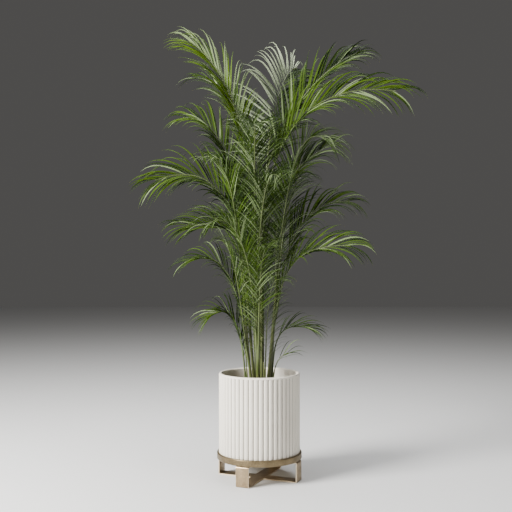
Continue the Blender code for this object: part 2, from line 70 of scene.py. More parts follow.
SEED = 11  # every random draw starts from it, so each run grows the same palm
FIT = 0.0003  # the gap between two seated pieces
BODY = "root"
PLANTER_RADIUS = 0.175
RIM = 0.454
SOIL_DROP = 0.050
GROUND = RIM - SOIL_DROP + FIT  # where canes, stubs and the lowest petioles begin
UP = np.array([0.0, 0.0, 1.0])


def unit(vectors: Array) -> Array:
    """Vectors at length 1, along their last axis."""
    return vectors / np.linalg.norm(vectors, axis=-1, keepdims=True)


def circle(sides: int) -> Array:
    """Level directions round the upright axis, one row for each side."""
    angle = 2 * math.pi * np.arange(sides) / sides
    return np.stack([np.cos(angle), np.sin(angle), np.zeros(sides)], axis=-1)


@dataclass
class Shell:
    """Closed surfaces gathered into one mesh, each point with its place on its own surface.

    Faces are lists of point numbers, uvs hold a point's place across and along its surface, and
    slots number the material of each face.
    """

    points: list[Array] = field(default_factory=list)
    faces: list[list[int]] = field(default_factory=list)
    uvs: list[Array] = field(default_factory=list)
    slots: list[int] = field(default_factory=list)
    count: int = 0

    def add(self, points: Array, faces: Array, uvs: Array, slots: Array | int = 0) -> None:
        """Adds points and faces of one size.

        Args:
            points: Places, one row each.
            faces: Point numbers within these points, one row a face.
            uvs: Place across and along the surface, one row a point.
            slots: Material number of each face, or one for all.
        """
        self.points.append(points)
        self.uvs.append(uvs)
        self.faces.extend((faces + self.count).tolist())
        self.slots.extend(np.broadcast_to(slots, len(faces)).tolist())
        self.count += len(points)

    def piece(self, name: str, materials: list[bpy.types.Material], sharp: float) -> bpy.types.Object:
        """Makes the gathered surfaces one object that rides on the body.

        Args:
            name: The object's name.
            materials: One material for each slot number.
            sharp: Angle in degrees past which an edge shades sharp.

        Returns:
            The object, at the origin.
        """
        mesh = bpy.data.meshes.new(name)
        points = np.concatenate(self.points)
        mesh.from_pydata(points.tolist(), [], self.faces)
        for material in materials:
            mesh.materials.append(material)
        mesh.polygons.foreach_set("material_index", np.array(self.slots, dtype=np.int32))
        corners = np.empty(len(mesh.loops), dtype=np.int32)
        mesh.loops.foreach_get("vertex_index", corners)
        layer = mesh.uv_layers.new(name="surface")
        layer.uv.foreach_set("vector", np.concatenate(self.uvs)[corners].astype(np.float32).ravel())
        mesh.shade_smooth()
        mesh.set_sharp_from_angle(angle=math.radians(sharp))
        mesh.update()
        made = bpy.data.objects.new(name, mesh)
        bpy.context.scene.collection.objects.link(made)
        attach(made, BODY)
        return made


def grid_faces(rows: int, columns: int, closed_rows: bool = False) -> Array:
    """Quads of a grid whose columns close on themselves, and whose rows may too.

    Args:
        rows: Rows of points.
        columns: Points in each row.
        closed_rows: Whether the last row joins the first.

    Returns:
        One row of four point numbers for each quad.
    """
    rings = rows if closed_rows else rows - 1
    row, column = np.meshgrid(np.arange(rings), np.arange(columns), indexing="ij")
    above, beside = (row + 1) % rows, (column + 1) % columns
    corners = ((row, column), (row, beside), (above, beside), (above, column))
    return np.stack([y * columns + x for y, x in corners], axis=-1).reshape(-1, 4)


def grid_uvs(rows: int, columns: int) -> Array:
    """Place round and along the grid, each from 0 to 1, one row for each point."""
    along, around = np.meshgrid(np.linspace(0, 1, rows), np.linspace(0, 1, columns), indexing="ij")
    return np.stack([around, along], axis=-1).reshape(-1, 2)


def tube(
    rings: Array,
    slots: Array | int = 0,
    ends: tuple[int, int] = (0, 0),
    looped: bool = False,
    turned: bool = False,
) -> Shell:
    """A tube through rings of points. Flat faces close its two ends.

    Args:
        rings: Places, by ring, column and axis.
        slots: Material number of each quad, or one for all.
        ends: Material numbers of the first end and the last.
        looped: Whether the last ring joins the first, which leaves no ends.
        turned: Whether the faces are turned round, where they would point in.

    Returns:
        The closed shell.
    """
    rows, columns = rings.shape[:2]
    step = -1 if turned else 1
    shell = Shell()
    quads = grid_faces(rows, columns, looped)[:, ::step]
    shell.add(rings.reshape(-1, 3), quads, grid_uvs(rows, columns), slots)
    if not looped:
        shell.faces.append(list(range(columns))[::-step])
        shell.faces.append(list(range(shell.count - columns, shell.count))[::step])
        shell.slots.extend(ends)
    return shell


@dataclass
class Board:
    """A material's nodes, with a short way to add one and feed its inputs."""

    tree: bpy.types.NodeTree

    def node(self, kind: str, feeds: dict[str | int, object] | None = None) -> bpy.types.Node:
        """Adds a shader node.

        Args:
            kind: Its type's name.
            feeds: What goes into its inputs.

        Returns:
            The node.
        """
        made = self.tree.nodes.new(kind)
        self.feed(made, feeds or {})
        return made

    def feed(self, node: bpy.types.Node, feeds: dict[str | int, object]) -> None:
        """Feeds a node's inputs.

        Args:
            node: The node.
            feeds: For each input's name or number, another node's output or else a value.
        """
        for name, value in feeds.items():
            if isinstance(value, bpy.types.NodeSocket):
                self.tree.links.new(value, node.inputs[name])
            else:
                node.inputs[name].default_value = value

    def over(
        self, under: bpy.types.NodeSocket, tone: Colour, share: bpy.types.NodeSocket
    ) -> bpy.types.NodeSocket:
        """Lays one tone over a colour.

        Args:
            under: The colour underneath.
            tone: The tone to lay over it.
            share: How much of the tone shows, from 0 to 1.

        Returns:
            The mixed colour.
        """
        mix = self.node("ShaderNodeMix")
        mix.data_type = "RGBA"
        first, second = [number for number, socket in enumerate(mix.inputs) if socket.type == "RGBA"]
        self.feed(mix, {0: share, first: under, second: (*tone, 1.0)})
        return next(socket for socket in mix.outputs if socket.type == "RGBA")


@dataclass(frozen=True)
class Finish:
    """A finish whose colour wanders between two tones in clouds and fine streaks.

    Clouds are noise of the cloud scale. Streaks are noise stretched by the streak scale, on the
    surface's own coordinates where on_surface says so, and else on the object's. The streak share
    is their part in the blend, which runs from the second tone to the first between the two
    levels. Streaks also sway the roughness by the gloss swing and raise the bump.
    """

    name: str
    tone: Colour
    second: Colour
    roughness: float
    metallic: float = 0.0
    specular: float = 0.5
    cloud_scale: float = 9.0
    cloud_detail: float = 4.0
    streak_scale: tuple[float, float, float] = (60.0, 60.0, 60.0)
    streak_detail: float = 3.0
    streak_share: float = 0.35
    levels: tuple[float, float] = (0.34, 0.66)
    gloss_swing: float = 0.06
    bump: float = 0.15
    bump_depth: float = 0.0006
    on_surface: bool = False

    def material(self) -> bpy.types.Material:
        """The finish as a node material, made once and then shared.

        Returns:
            The material, with a Principled shader that reads object or surface coordinates.
        """
        if self.name in bpy.data.materials:
            return bpy.data.materials[self.name]
        made = bpy.data.materials.new(self.name)
        made.use_nodes = True
        board = Board(made.node_tree)
        place = board.node("ShaderNodeTexCoord").outputs
        puffs = {"Vector": place["Object"], "Scale": self.cloud_scale, "Detail": self.cloud_detail}
        clouds = board.node("ShaderNodeTexNoise", puffs).outputs["Fac"]
        surface = place["UV" if self.on_surface else "Object"]
        stretched = board.node("ShaderNodeMapping", {"Vector": surface, "Scale": self.streak_scale})
        threads = {"Vector": stretched.outputs["Vector"], "Scale": 1.0, "Detail": self.streak_detail}
        streaks = board.node("ShaderNodeTexNoise", threads).outputs["Fac"]
        blend = board.node("ShaderNodeMix", {"Factor": self.streak_share, "A": clouds, "B": streaks})
        ramp = board.node("ShaderNodeValToRGB", {"Fac": blend.outputs["Result"]})
        for stop, level, tone in zip(ramp.color_ramp.elements, self.levels, (self.second, self.tone)):
            stop.position = level
            stop.color = (*tone, 1.0)
        low, high = self.roughness - self.gloss_swing, self.roughness + self.gloss_swing
        spread = board.node("ShaderNodeMapRange", {"Value": streaks, "To Min": low, "To Max": high})
        bumps = {"Height": streaks, "Strength": self.bump, "Distance": self.bump_depth}
        relief = board.node("ShaderNodeBump", bumps)
        board.feed(
            made.node_tree.nodes["Principled BSDF"],
            {
                "Base Color": self.marked(board, place["UV"], ramp.outputs["Color"]),
                "Metallic": self.metallic,
                "Specular IOR Level": self.specular,
                "Roughness": spread.outputs["Result"],
                "Normal": relief.outputs["Normal"],
            },
        )
        return made

    def marked(
        self, board: Board, place: bpy.types.NodeSocket, colour: bpy.types.NodeSocket
    ) -> bpy.types.NodeSocket:
        """The colour with this finish's own marks drawn over it. A plain finish has none.

        Args:
            board: The material's nodes.
            place: The place on the surface.
            colour: The colour so far.

        Returns:
            The colour to use.
        """
        return colour


@dataclass(frozen=True)
class LeafFinish(Finish):
    """A leaflet's finish: fine veins along it, a paler midrib, and a dry tip.

    A leaflet's surface runs from 0 to 1 across and from 0 at its root to 1 at its tip. The midrib
    lies in the middle, as wide as its share says, and the tip dries out from its share onwards.
    """

    midrib: Colour = (0.075, 0.12, 0.015)
    dry: Colour = (0.13, 0.11, 0.03)
    middle: float = 0.5
    midrib_width: float = 0.09
    dry_from: float = 0.965

    def marked(
        self, board: Board, place: bpy.types.NodeSocket, colour: bpy.types.NodeSocket
    ) -> bpy.types.NodeSocket:
        """The colour with the midrib and the dry tip drawn over it.

        Args:
            board: The material's nodes.
            place: The place on the surface.
            colour: The colour so far.

        Returns:
            The colour to use.
        """
        across, along = board.node("ShaderNodeSeparateXYZ", {"Vector": place}).outputs[:2]
        near = board.node("ShaderNodeMath", {0: across, 1: self.middle, 2: self.midrib_width / 2})
        near.operation = "COMPARE"
        ribbed = board.over(colour, self.midrib, near.outputs["Value"])
        late = board.node("ShaderNodeMapRange", {"Value": along, "From Min": self.dry_from, "From Max": 1.0})
        return board.over(ribbed, self.dry, late.outputs["Result"])


LEAF_VEINS = (26.0, 3.0, 1.0)  # how often streaks repeat across a leaflet, along it and through it
SPECKLES = (420.0, 420.0, 420.0)
BRUSHING = (320.0, 320.0, 380.0)
UNDERSIDE_SHARE = 0.85  # how much of the upper face's tone an underside keeps
UNDERSIDE_BLOOM = (0.006, 0.011, 0.003)  # the dull green that is added to it

CERAMIC = Finish(
    "matt_ceramic", (0.80, 0.755, 0.665), (0.765, 0.715, 0.62), 0.60, cloud_scale=7.0,
    streak_scale=SPECKLES, bump=0.10, bump_depth=0.0004, specular=0.35,
)
# Painted shade: a dark ceramic for the faces in the valleys between the reeds, where shade falls.
VALLEY_PAINTED_SHADE = Finish(
    "ceramic_valley_painted_shade", (0.19, 0.165, 0.135), (0.15, 0.13, 0.105), 0.75, cloud_scale=7.0,
    streak_scale=SPECKLES, bump=0.10, bump_depth=0.0004, specular=0.2,
)
CHAMPAGNE = Finish(
    "brushed_champagne", (0.52, 0.40, 0.25), (0.20, 0.145, 0.085), 0.36, metallic=0.9, cloud_scale=30.0,
    streak_scale=BRUSHING, streak_share=0.7, bump=0.45, bump_depth=0.0005,
)
# Painted shade: the bars' brushed champagne made darker for the ring, for the shade that lies on it.
RING_PAINTED_SHADE = Finish(
    "brushed_ring_painted_shade", (0.27, 0.205, 0.115), (0.10, 0.076, 0.042), 0.38, metallic=0.85, cloud_scale=30.0,
    streak_scale=BRUSHING, streak_share=0.7, bump=0.45, bump_depth=0.0005,
)
# Painted highlight: a lighter, less metallic champagne for the bars' narrow faces, where the edges catch the
# light.
BAR_EDGE_PAINTED_HIGHLIGHT = Finish(
    "edge_painted_highlight", (0.86, 0.74, 0.56), (0.62, 0.50, 0.34), 0.48, metallic=0.55, cloud_scale=30.0,
    streak_scale=BRUSHING, streak_share=0.7, bump=0.2, bump_depth=0.0003,
)
COMPOST = Finish(
    "potting_mix", (0.085, 0.060, 0.042), (0.030, 0.022, 0.016), 0.95, cloud_scale=60.0,
    streak_scale=(300.0, 300.0, 300.0), bump=0.8, bump_depth=0.002,
)
BARK_CHIP = Finish(
    "bark_chips", (0.17, 0.105, 0.062), (0.075, 0.045, 0.028), 0.88, cloud_scale=40.0,
    streak_scale=(240.0, 240.0, 240.0), bump=0.5, bump_depth=0.001,
)
CANE = Finish(
    "green_cane", (0.102, 0.120, 0.031), (0.046, 0.056, 0.015), 0.42, cloud_scale=14.0,
    streak_scale=(260.0, 260.0, 9.0), bump=0.25, bump_depth=0.0005,
)
PETIOLE = Finish(
    "petiole_green", (0.082, 0.109, 0.025), (0.040, 0.057, 0.013), 0.40, cloud_scale=11.0,
    streak_scale=(300.0, 300.0, 9.0), bump=0.2, bump_depth=0.0004,
)
CUT_END = Finish(
    "pale_cut", (0.62, 0.56, 0.36), (0.46, 0.40, 0.22), 0.75, cloud_scale=60.0,
    streak_scale=(700.0, 700.0, 700.0), bump=0.4, bump_depth=0.0006,
)


class Tint(Enum):
    """The colour of a spray of leaflets, as the two tones that its clouds wander between."""

    DEEP = ((0.006, 0.016, 0.001), (0.003, 0.009, 0.001))
    GREEN = ((0.017, 0.038, 0.002), (0.009, 0.021, 0.001))
    FRESH = ((0.040, 0.075, 0.003), (0.021, 0.043, 0.002))
    BRIGHT = ((0.066, 0.118, 0.003), (0.038, 0.072, 0.002))
    # Painted highlights: these two light tints stand in for the sheen of light on glossy leaflets; the second
    # is the stronger.
    PAINTED_HIGHLIGHT_SOFT = ((0.180, 0.230, 0.118), (0.112, 0.158, 0.064))
    PAINTED_HIGHLIGHT_STRONG = ((0.330, 0.380, 0.270), (0.240, 0.285, 0.185))

    def upper(self) -> LeafFinish:
        """The finish of the upper face."""
        return self.face("upper", list(self.value), roughness=0.54, specular=0.07)

    def lower(self) -> LeafFinish:
        """The finish of the underside, duller and rougher."""
        tones = [tuple(UNDERSIDE_SHARE * c + g for c, g in zip(tone, UNDERSIDE_BLOOM)) for tone in self.value]
        return self.face("lower", tones, roughness=0.62, specular=0.05)

    def face(self, side: str, tones: list[Colour], roughness: float, specular: float) -> LeafFinish:
        """One face's finish.

        Args:
            side: The face's name.
            tones: The two tones.
            roughness: The face's roughness.
            specular: How strongly it mirrors light.

        Returns:
            The finish, named for the tint and the face.
        """
        tone, second = tones
        return LeafFinish(
            f"leaf_{self.name.lower()}_{side}", tone, second, roughness, specular=specular,
            cloud_scale=6.0, streak_scale=LEAF_VEINS, streak_share=0.3, bump=0.12, bump_depth=0.0003,
            on_surface=True,
        )


class Spray(Enum):
    """The first and second tints that are dealt to a frond's leaflets, besides its rows' glint."""

    FRESH = (Tint.FRESH, Tint.DEEP)
    GREEN = (Tint.GREEN, Tint.DEEP)
    # Painted light: the bright tint first, for the top-left frond, whose near row the light falls on.
    BRIGHT = (Tint.BRIGHT, Tint.GREEN)
    # Painted shade: the deep tint first, for fronds at the back of the crown, where shade falls.
    DEEP = (Tint.DEEP, Tint.GREEN)


@dataclass
class Planter:
    """A straight cylinder with upright reeds, a plain rounded lip and a floor.

    Each reed has a number of samples across. The first and last few are its valleys, which take a dark
    finish of painted shade, for the shade that falls in the grooves. The fade share is how much of the
    lip's height the reeds take to run out, and the inner start is how far under the rim the inner wall's
    own rings begin.
    """

    radius: float
    base: float
    rim: float
    wall: float = 0.014
    floor: float = 0.016
    edge: float = 0.004
    reeds: int = 52
    reed_depth: float = 0.0072
    reed_power: float = 2.3
    reed_turn: float = math.radians(-1.4)
    samples: int = 14
    valley: int = 2
    painted_shade_cut: float = 0.5
    lip: float = 0.004
    lip_rings: int = 13
    fade_rings: int = 6
    fade_share: float = 0.8
    wall_rings: int = 4
    inner_start: float = 0.02
    hub: float = 0.0005

    def profile(self) -> tuple[Array, Array, Array]:
        """Radius, height and reed share down the section, from the foot up, over the lip and in.

        The lip is a half circle as wide as the wall. Reeds fade out over the lip's height below it.

        Returns:
            Radii, heights, and how deep the reeds are cut there, from 0 to 1.
        """
        half, inner, deck = self.wall / 2, self.radius - self.wall, self.base + self.floor
        turn = np.linspace(0, math.pi, self.lip_rings)
        shoulder = self.rim - half - self.lip
        fade = np.linspace(0, 1, self.fade_rings)
        radii = [
            [self.radius - self.edge, self.radius - self.edge / 4, self.radius, self.radius],
            np.full(self.fade_rings, self.radius),
            self.radius - half + half * np.cos(turn),
            np.full(self.wall_rings, inner),
            [inner - self.edge, self.hub],
        ]
        heights = [
            [self.base, self.base + self.edge / 4, self.base + self.edge, (self.base + shoulder) / 2],
            shoulder + self.lip * fade * self.fade_share,
            self.rim - half + half * np.sin(turn),
            np.linspace(self.rim - self.inner_start, deck + self.edge, self.wall_rings),
            [deck, deck],
        ]
        plain = sum(len(part) for part in radii[2:])
        cut = [np.ones(len(radii[0])), np.cos(fade * math.pi / 2), np.zeros(plain)]
        return np.concatenate(radii), np.concatenate(heights), np.concatenate(cut)

    def shell(self) -> Shell:
        """The planter's surface: radius less the reeds' drop, round and up the profile.

        Across one reed, u is the sine of an even step from -1 to 1, which crowds points towards the
        valleys, and the drop is depth * (1 - (1 - |u|^p)^(1/p)).

        Returns:
            The closed shell, whose second slot is painted shade in the valleys between the reeds.
        """
        radii, heights, cut = self.profile()
        reed, sample = np.divmod(np.arange(self.reeds * self.samples), self.samples)
        across = np.sin(math.pi / 2 * (2 * sample / self.samples - 1))
        angle = 2 * math.pi * (reed + (across + 1) / 2) / self.reeds + self.reed_turn
        power = self.reed_power
        drop = self.reed_depth * (1 - (1 - np.abs(across) ** power) ** (1 / power))
        reach = radii[:, None] - cut[:, None] * drop[None, :]
        x, y = reach * np.cos(angle), reach * np.sin(angle)
        z = np.broadcast_to(heights[:, None], x.shape)
        # Painted shade: the faces nearest each valley, where the reeds are cut deep, take the dark finish.
        low = (sample < self.valley) | (sample >= self.samples - self.valley)
        slots = (low[None, :] & (cut[:-1, None] > self.painted_shade_cut)).astype(int).ravel()
        return tube(np.stack([x, y, z], axis=-1), slots)

    def dress(self) -> None:
        """Puts the finished planter in place of its solid."""
        # The second material is painted shade in the reed valleys.
        made = self.shell().piece("planter_reeded", [CERAMIC.material(), VALLEY_PAINTED_SHADE.material()], sharp=50)
        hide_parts("planter")


@dataclass
class Soil:
    """Loose potting mix that fills the planter, with chips of bark on it.

    Each wave of the surface is its turns per metre in x and in y, its shift, and its share. The
    level and wave shares are of the swell. Pairs give the least and the most that is drawn, and the
    chip's field is the share of the radius that chips lie in.
    """

    radius: float
    bottom: float
    top: float
    swell: float = 0.003
    level_share: float = 0.7
    wave_share: float = 0.27
    wall_sink: float = 0.003
    sink_power: int = 4
    waves: tuple[tuple[float, ...], ...] = ((61, 17, 0, 1), (-29, 47, 1.3, 1), (130, -110, 0, 0.6))
    sides: int = 120
    rings: int = 48
    hub: float = 0.004
    first_ring: float = 0.03
    chips: int = 420
    chip_size: float = 0.0075
    chip_shape: tuple[float, float, float] = (1.0, 0.6, 0.25)
    chip_sizes: tuple[float, float] = (0.4, 1.0)
    chip_warp: tuple[float, float] = (0.6, 1.25)
    chip_tilt: tuple[float, float] = (-0.35, 0.35)
    chip_field: float = 0.95
    chip_lift: float = 0.0006

    def height(self, x: Array, y: Array) -> Array:
        """The level of the surface: the sum of a few crossed waves, sunk a little at the wall.

        Args:
            x: Places to the right of the planter's axis.
            y: Places behind it.

        Returns:
            The heights there.
        """
        waves = sum(share * np.sin(right * x + back * y + shift) for right, back, shift, share in self.waves)
        edge = np.hypot(x, y) / self.radius
        level = self.top - self.swell * self.level_share
        return level + self.swell * self.wave_share * waves - self.wall_sink * edge**self.sink_power

    def bed(self) -> Shell:
        """The filling, as rings out from the middle, down the wall and in under.

        Returns:
            The closed shell.
        """
        shares = np.concatenate([[self.hub], np.linspace(self.first_ring, 1, self.rings), [1.0, self.hub]])
        around = circle(self.sides)
        x = self.radius * shares[:, None] * around[:, 0]
        y = self.radius * shares[:, None] * around[:, 1]
        z = self.height(x, y)
        z[-2:] = self.bottom
        return tube(np.stack([x, y, z], axis=-1), turned=True)

    def scatter(self) -> Shell:
        """Chips of bark: cubes pulled out of true, turned and laid on the surface.

        Returns:
            The closed chips, in one shell.
        """
        rng = np.random.default_rng(SEED)
        corners = np.array([[i, j, k] for i in (-1, 1) for j in (-1, 1) for k in (-1, 1)], dtype=float)
        sides = np.array([[0, 1, 3, 2], [4, 6, 7, 5], [0, 4, 5, 1], [2, 3, 7, 6], [0, 2, 6, 4], [1, 5, 7, 3]])
        away = self.radius * self.chip_field * np.sqrt(rng.uniform(0, 1, self.chips))
        bearing = rng.uniform(0, 2 * math.pi, self.chips)
        size = self.chip_size * rng.uniform(*self.chip_sizes, (self.chips, 1, 1)) * np.array(self.chip_shape)
        local = corners * size / 2 * rng.uniform(*self.chip_warp, (self.chips, len(corners), 3))
        turn = rng.uniform(0, 2 * math.pi, (self.chips, 1))
        tilt = rng.uniform(*self.chip_tilt, (self.chips, 1))
        x = local[..., 0] * np.cos(turn) - local[..., 1] * np.sin(turn)
        y = local[..., 0] * np.sin(turn) + local[..., 1] * np.cos(turn)
        z = local[..., 2] + x * tilt
        middle_x, middle_y = away * np.cos(bearing), away * np.sin(bearing)
        x, y = x + middle_x[:, None], y + middle_y[:, None]
        z = z + self.height(middle_x, middle_y)[:, None] + self.chip_lift
        points = np.stack([x, y, z], axis=-1).reshape(-1, 3)
        faces = (sides[None] + len(corners) * np.arange(self.chips)[:, None, None]).reshape(-1, 4)
        shell = Shell()
        shell.add(points, faces, points[:, :2])
        return shell

    def dress(self) -> None:
        """Puts the bed and its chips in place of the plain filling."""
        bed = self.bed().piece("potting_mix", [COMPOST.material()], sharp=60)
        chips = self.scatter().piece("bark_chips", [BARK_CHIP.material()], sharp=20)
        for made in (bed, chips):
            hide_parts("compost")


@dataclass
class Stand:
    """Two flat-bar loops that cross under a ring. One is whole, and the other is two halves.

    The bar's edges and the ring's outer edges are rounded, and the ring's inner edges are nicked.
    """

    reach: float
    height: float
    bar_width: float = 0.058
    bar_thickness: float = 0.005
    bend: float = 0.0045
    bend_points: int = 8
    turn: float = math.radians(-23.3)
    edge: float = 0.0009
    edge_points: int = 5
    ring_low: float = 0.0868
    ring_high: float = 0.1148
    ring_inner: float = 0.1753
    ring_round: float = 0.0040
    ring_round_points: int = 6
    ring_nick: float = 0.0008
    ring_sections: int = 240

    def section(self) -> Array:
        """The bar's section: a rectangle whose corners are quarter circles.

        Returns:
            Its points as (across, out) pairs.
        """
        wide, thick = self.bar_width / 2 - self.edge, self.bar_thickness / 2 - self.edge
        turns = np.linspace(0, math.pi / 2, self.edge_points)
        parts = []
        for quarter, (right, out) in enumerate(((1, 1), (-1, 1), (-1, -1), (1, -1))):
            angle = turns + quarter * math.pi / 2
            corner = np.array([right * wide, out * thick])
            parts.append(corner + self.edge * np.stack([np.cos(angle), np.sin(angle)], axis=-1))
        return np.concatenate(parts)

    def path(self, start: float, closed: bool) -> tuple[Array, Array]:
        """The loop's middle line in its own upright plane, with its outward normals.

        Each corner is an arc of the bend's radius. The runs between are straight.

        Args:
            start: Where a half loop begins, out from the middle. A whole loop doesn't use it.
            closed: Whether the loop is whole.

        Returns:
            Points and outward normals, as (x, z) pairs.
        """
        half = self.bar_thickness / 2
        far, low, high = self.reach - half, half, self.height - half
        centres = [(far - self.bend, low + self.bend, -90), (far - self.bend, high - self.bend, 0)]
        if closed:
            centres += [(-far + self.bend, high - self.bend, 90), (-far + self.bend, low + self.bend, 180)]
        points, normals = [], []
        if not closed:
            points.append([[start, low]])
            normals.append([[0.0, -1.0]])
        for x, z, first in centres:
            angle = np.radians(np.linspace(first, first + 90, self.bend_points))
            normal = np.stack([np.cos(angle), np.sin(angle)], axis=-1)
            points.append(np.array([x, z]) + self.bend * normal)
            normals.append(normal)
        if not closed:
            points.append([[start, high]])
            normals.append([[0.0, 1.0]])
        return np.concatenate(points), np.concatenate(normals)

    def bar(self, start: float, closed: bool, turn: float) -> Shell:
        """A bar carried along the loop: point + across * side + out * normal, turned about the axis.

        Args:
            start: Where a half loop begins.
            closed: Whether the loop is whole.
            turn: Turn about the planter's axis.

        Returns:
            The closed shell, whose second slot is the bar's narrow faces, which take a painted highlight.
        """
        line, normals = self.path(start, closed)
        section = self.section()
        flat = line[:, None, :] + section[None, :, 1:] * normals[:, None, :]
        across = np.broadcast_to(section[None, :, 0], flat.shape[:2])
        x = flat[..., 0] * math.cos(turn) - across * math.sin(turn)
        y = flat[..., 0] * math.sin(turn) + across * math.cos(turn)
        middles = (section[:, 0] + np.roll(section[:, 0], -1)) / 2
        narrow = np.abs(middles) > self.bar_width / 2 - self.edge
        # Painted highlight: the narrow faces take the second slot, the lighter edge finish.
        slots = np.tile(narrow.astype(int), len(line) if closed else len(line) - 1)
        return tube(np.stack([x, y, flat[..., 1]], axis=-1), slots, looped=closed, turned=True)

    def ring(self) -> Shell:
        """The ring: a band whose outer edges are quarter circles, turned about the axis.

        Returns:
            The closed shell.
        """
        turns = np.linspace(0, math.pi / 2, self.ring_round_points)
        bend, outer, inner, nick = self.ring_round, self.reach, self.ring_inner, self.ring_nick
        across, up = bend * np.cos(turns), bend * np.sin(turns)
        low = np.stack([outer - bend + up, self.ring_low + bend - across], axis=-1)
        high = np.stack([outer - bend + across, self.ring_high - bend + up], axis=-1)
        back = [
            [inner + nick, self.ring_high],
            [inner, self.ring_high - nick],
            [inner, self.ring_low + nick],
            [inner + nick, self.ring_low],
        ]
        section = np.concatenate([low, high, back])
        around = circle(self.ring_sections)
        x = section[None, :, 0] * around[:, :1]
        y = section[None, :, 0] * around[:, 1:2]
        z = np.broadcast_to(section[None, :, 1], x.shape)
        return tube(np.stack([x, y, z], axis=-1), looped=True, turned=True)

    def dress(self) -> None:
        """Puts the finished bars and ring in place of their solids."""
        inner = self.bar_width / 2 + FIT
        # The bars' second finish is a painted highlight on their narrow faces.
        bar = (CHAMPAGNE, BAR_EDGE_PAINTED_HIGHLIGHT)
        pieces = {
            "stand_loop": (self.bar(0.0, True, self.turn + math.pi / 2), bar),
            "stand_half_right": (self.bar(inner, False, self.turn), bar),
            "stand_half_left": (self.bar(inner, False, self.turn + math.pi), bar),
            # The ring's finish is the bars' metal with painted shade.
            "stand_ring": (self.ring(), (RING_PAINTED_SHADE,)),
        }
        for node, (shell, finishes) in pieces.items():
            made = shell.piece(f"{node}_brushed", [finish.material() for finish in finishes], sharp=40)
            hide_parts(node)


@dataclass
class Cane:
    """A cane of the clump: where it stands, where its tip is, and its radius.

    It tapers by its share, bows out early, and flares at its foot. A scar's ridge swells by its
    share and falls off over its top and its foot. The shoulder is the share by which the cane draws
    in over its length under the tip.
    """

    name: str
    foot: tuple[float, float]
    tip: Place
    radius: float
    taper: float = 0.22
    bow: float = 0.25
    flare: float = 0.25
    flare_height: float = 0.030
    flare_fall: float = 2.5
    scar_spacing: float = 0.055
    scar_swell: float = 0.09
    scar_top: float = 0.0016
    scar_foot: float = 0.0045
    shoulder: float = 0.40
    shoulder_length: float = 0.035
    shoulder_power: float = 1.5
    ring_spacing: float = 0.004
    fewest_rings: int = 24
    sides: int = 20

    def at(self, height: Array) -> Array:
        """The centre of the cane at each height, on a gentle curve that steepens to the tip.

        With s the share of the height, it lies s + bow * s * (1 - s) of the way from foot to tip.

        Args:
            height: Heights above the floor.

        Returns:
            One place for each height.
        """
        share = (height - GROUND) / (self.tip[2] - GROUND)
        bow = share + self.bow * share * (1 - share)
        x = self.foot[0] + (self.tip[0] - self.foot[0]) * bow
        y = self.foot[1] + (self.tip[1] - self.foot[1]) * bow
        return np.stack([x, y, height], axis=-1)

    def radius_at(self, height: Array) -> Array:
        """The cane's own taper, without its flare and scars."""
        share = (height - GROUND) / (self.tip[2] - GROUND)
        return self.radius * (1 - self.taper * share)

    def relief(self, height: Array) -> Array:
        """The taper with the flare at the foot, a ridge at each leaf scar and a shoulder at the tip.

        A ridge is a narrow bell of the distance to the nearest scar, steeper above than below.

        Args:
            height: Heights above the floor.

        Returns:
            The radius at each height.
        """
        above = height - GROUND
        off = (above + self.scar_spacing / 2) % self.scar_spacing - self.scar_spacing / 2
        width = np.where(off > 0, self.scar_top, self.scar_foot)
        ridge = np.exp(-((off / width) ** 2)) * (above > self.scar_spacing / 2)
        flare = self.flare * np.exp(-((above / self.flare_height) ** 2) * self.flare_fall)
        near = np.clip(1 - (self.tip[2] - height) / self.shoulder_length, 0, 1)
        tip = 1 - self.shoulder * near**self.shoulder_power
        return self.radius_at(height) * (1 + self.scar_swell * ridge + flare) * tip

    def shell(self) -> Shell:
        """Even rings round the centre line, as wide as the relief says, with flat ends.

        Returns:
            The closed shell.
        """
        rows = max(self.fewest_rings, int((self.tip[2] - GROUND) / self.ring_spacing))
        heights = np.linspace(GROUND, self.tip[2], rows)
        return tube(self.at(heights)[:, None] + self.relief(heights)[:, None, None] * circle(self.sides)[None])

    def dress(self) -> None:
        """Puts the ringed cane in place of its solid."""
        made = self.shell().piece(f"cane_{self.name}_ringed", [CANE.material()], sharp=70)
        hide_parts(f"cane_{self.name}")


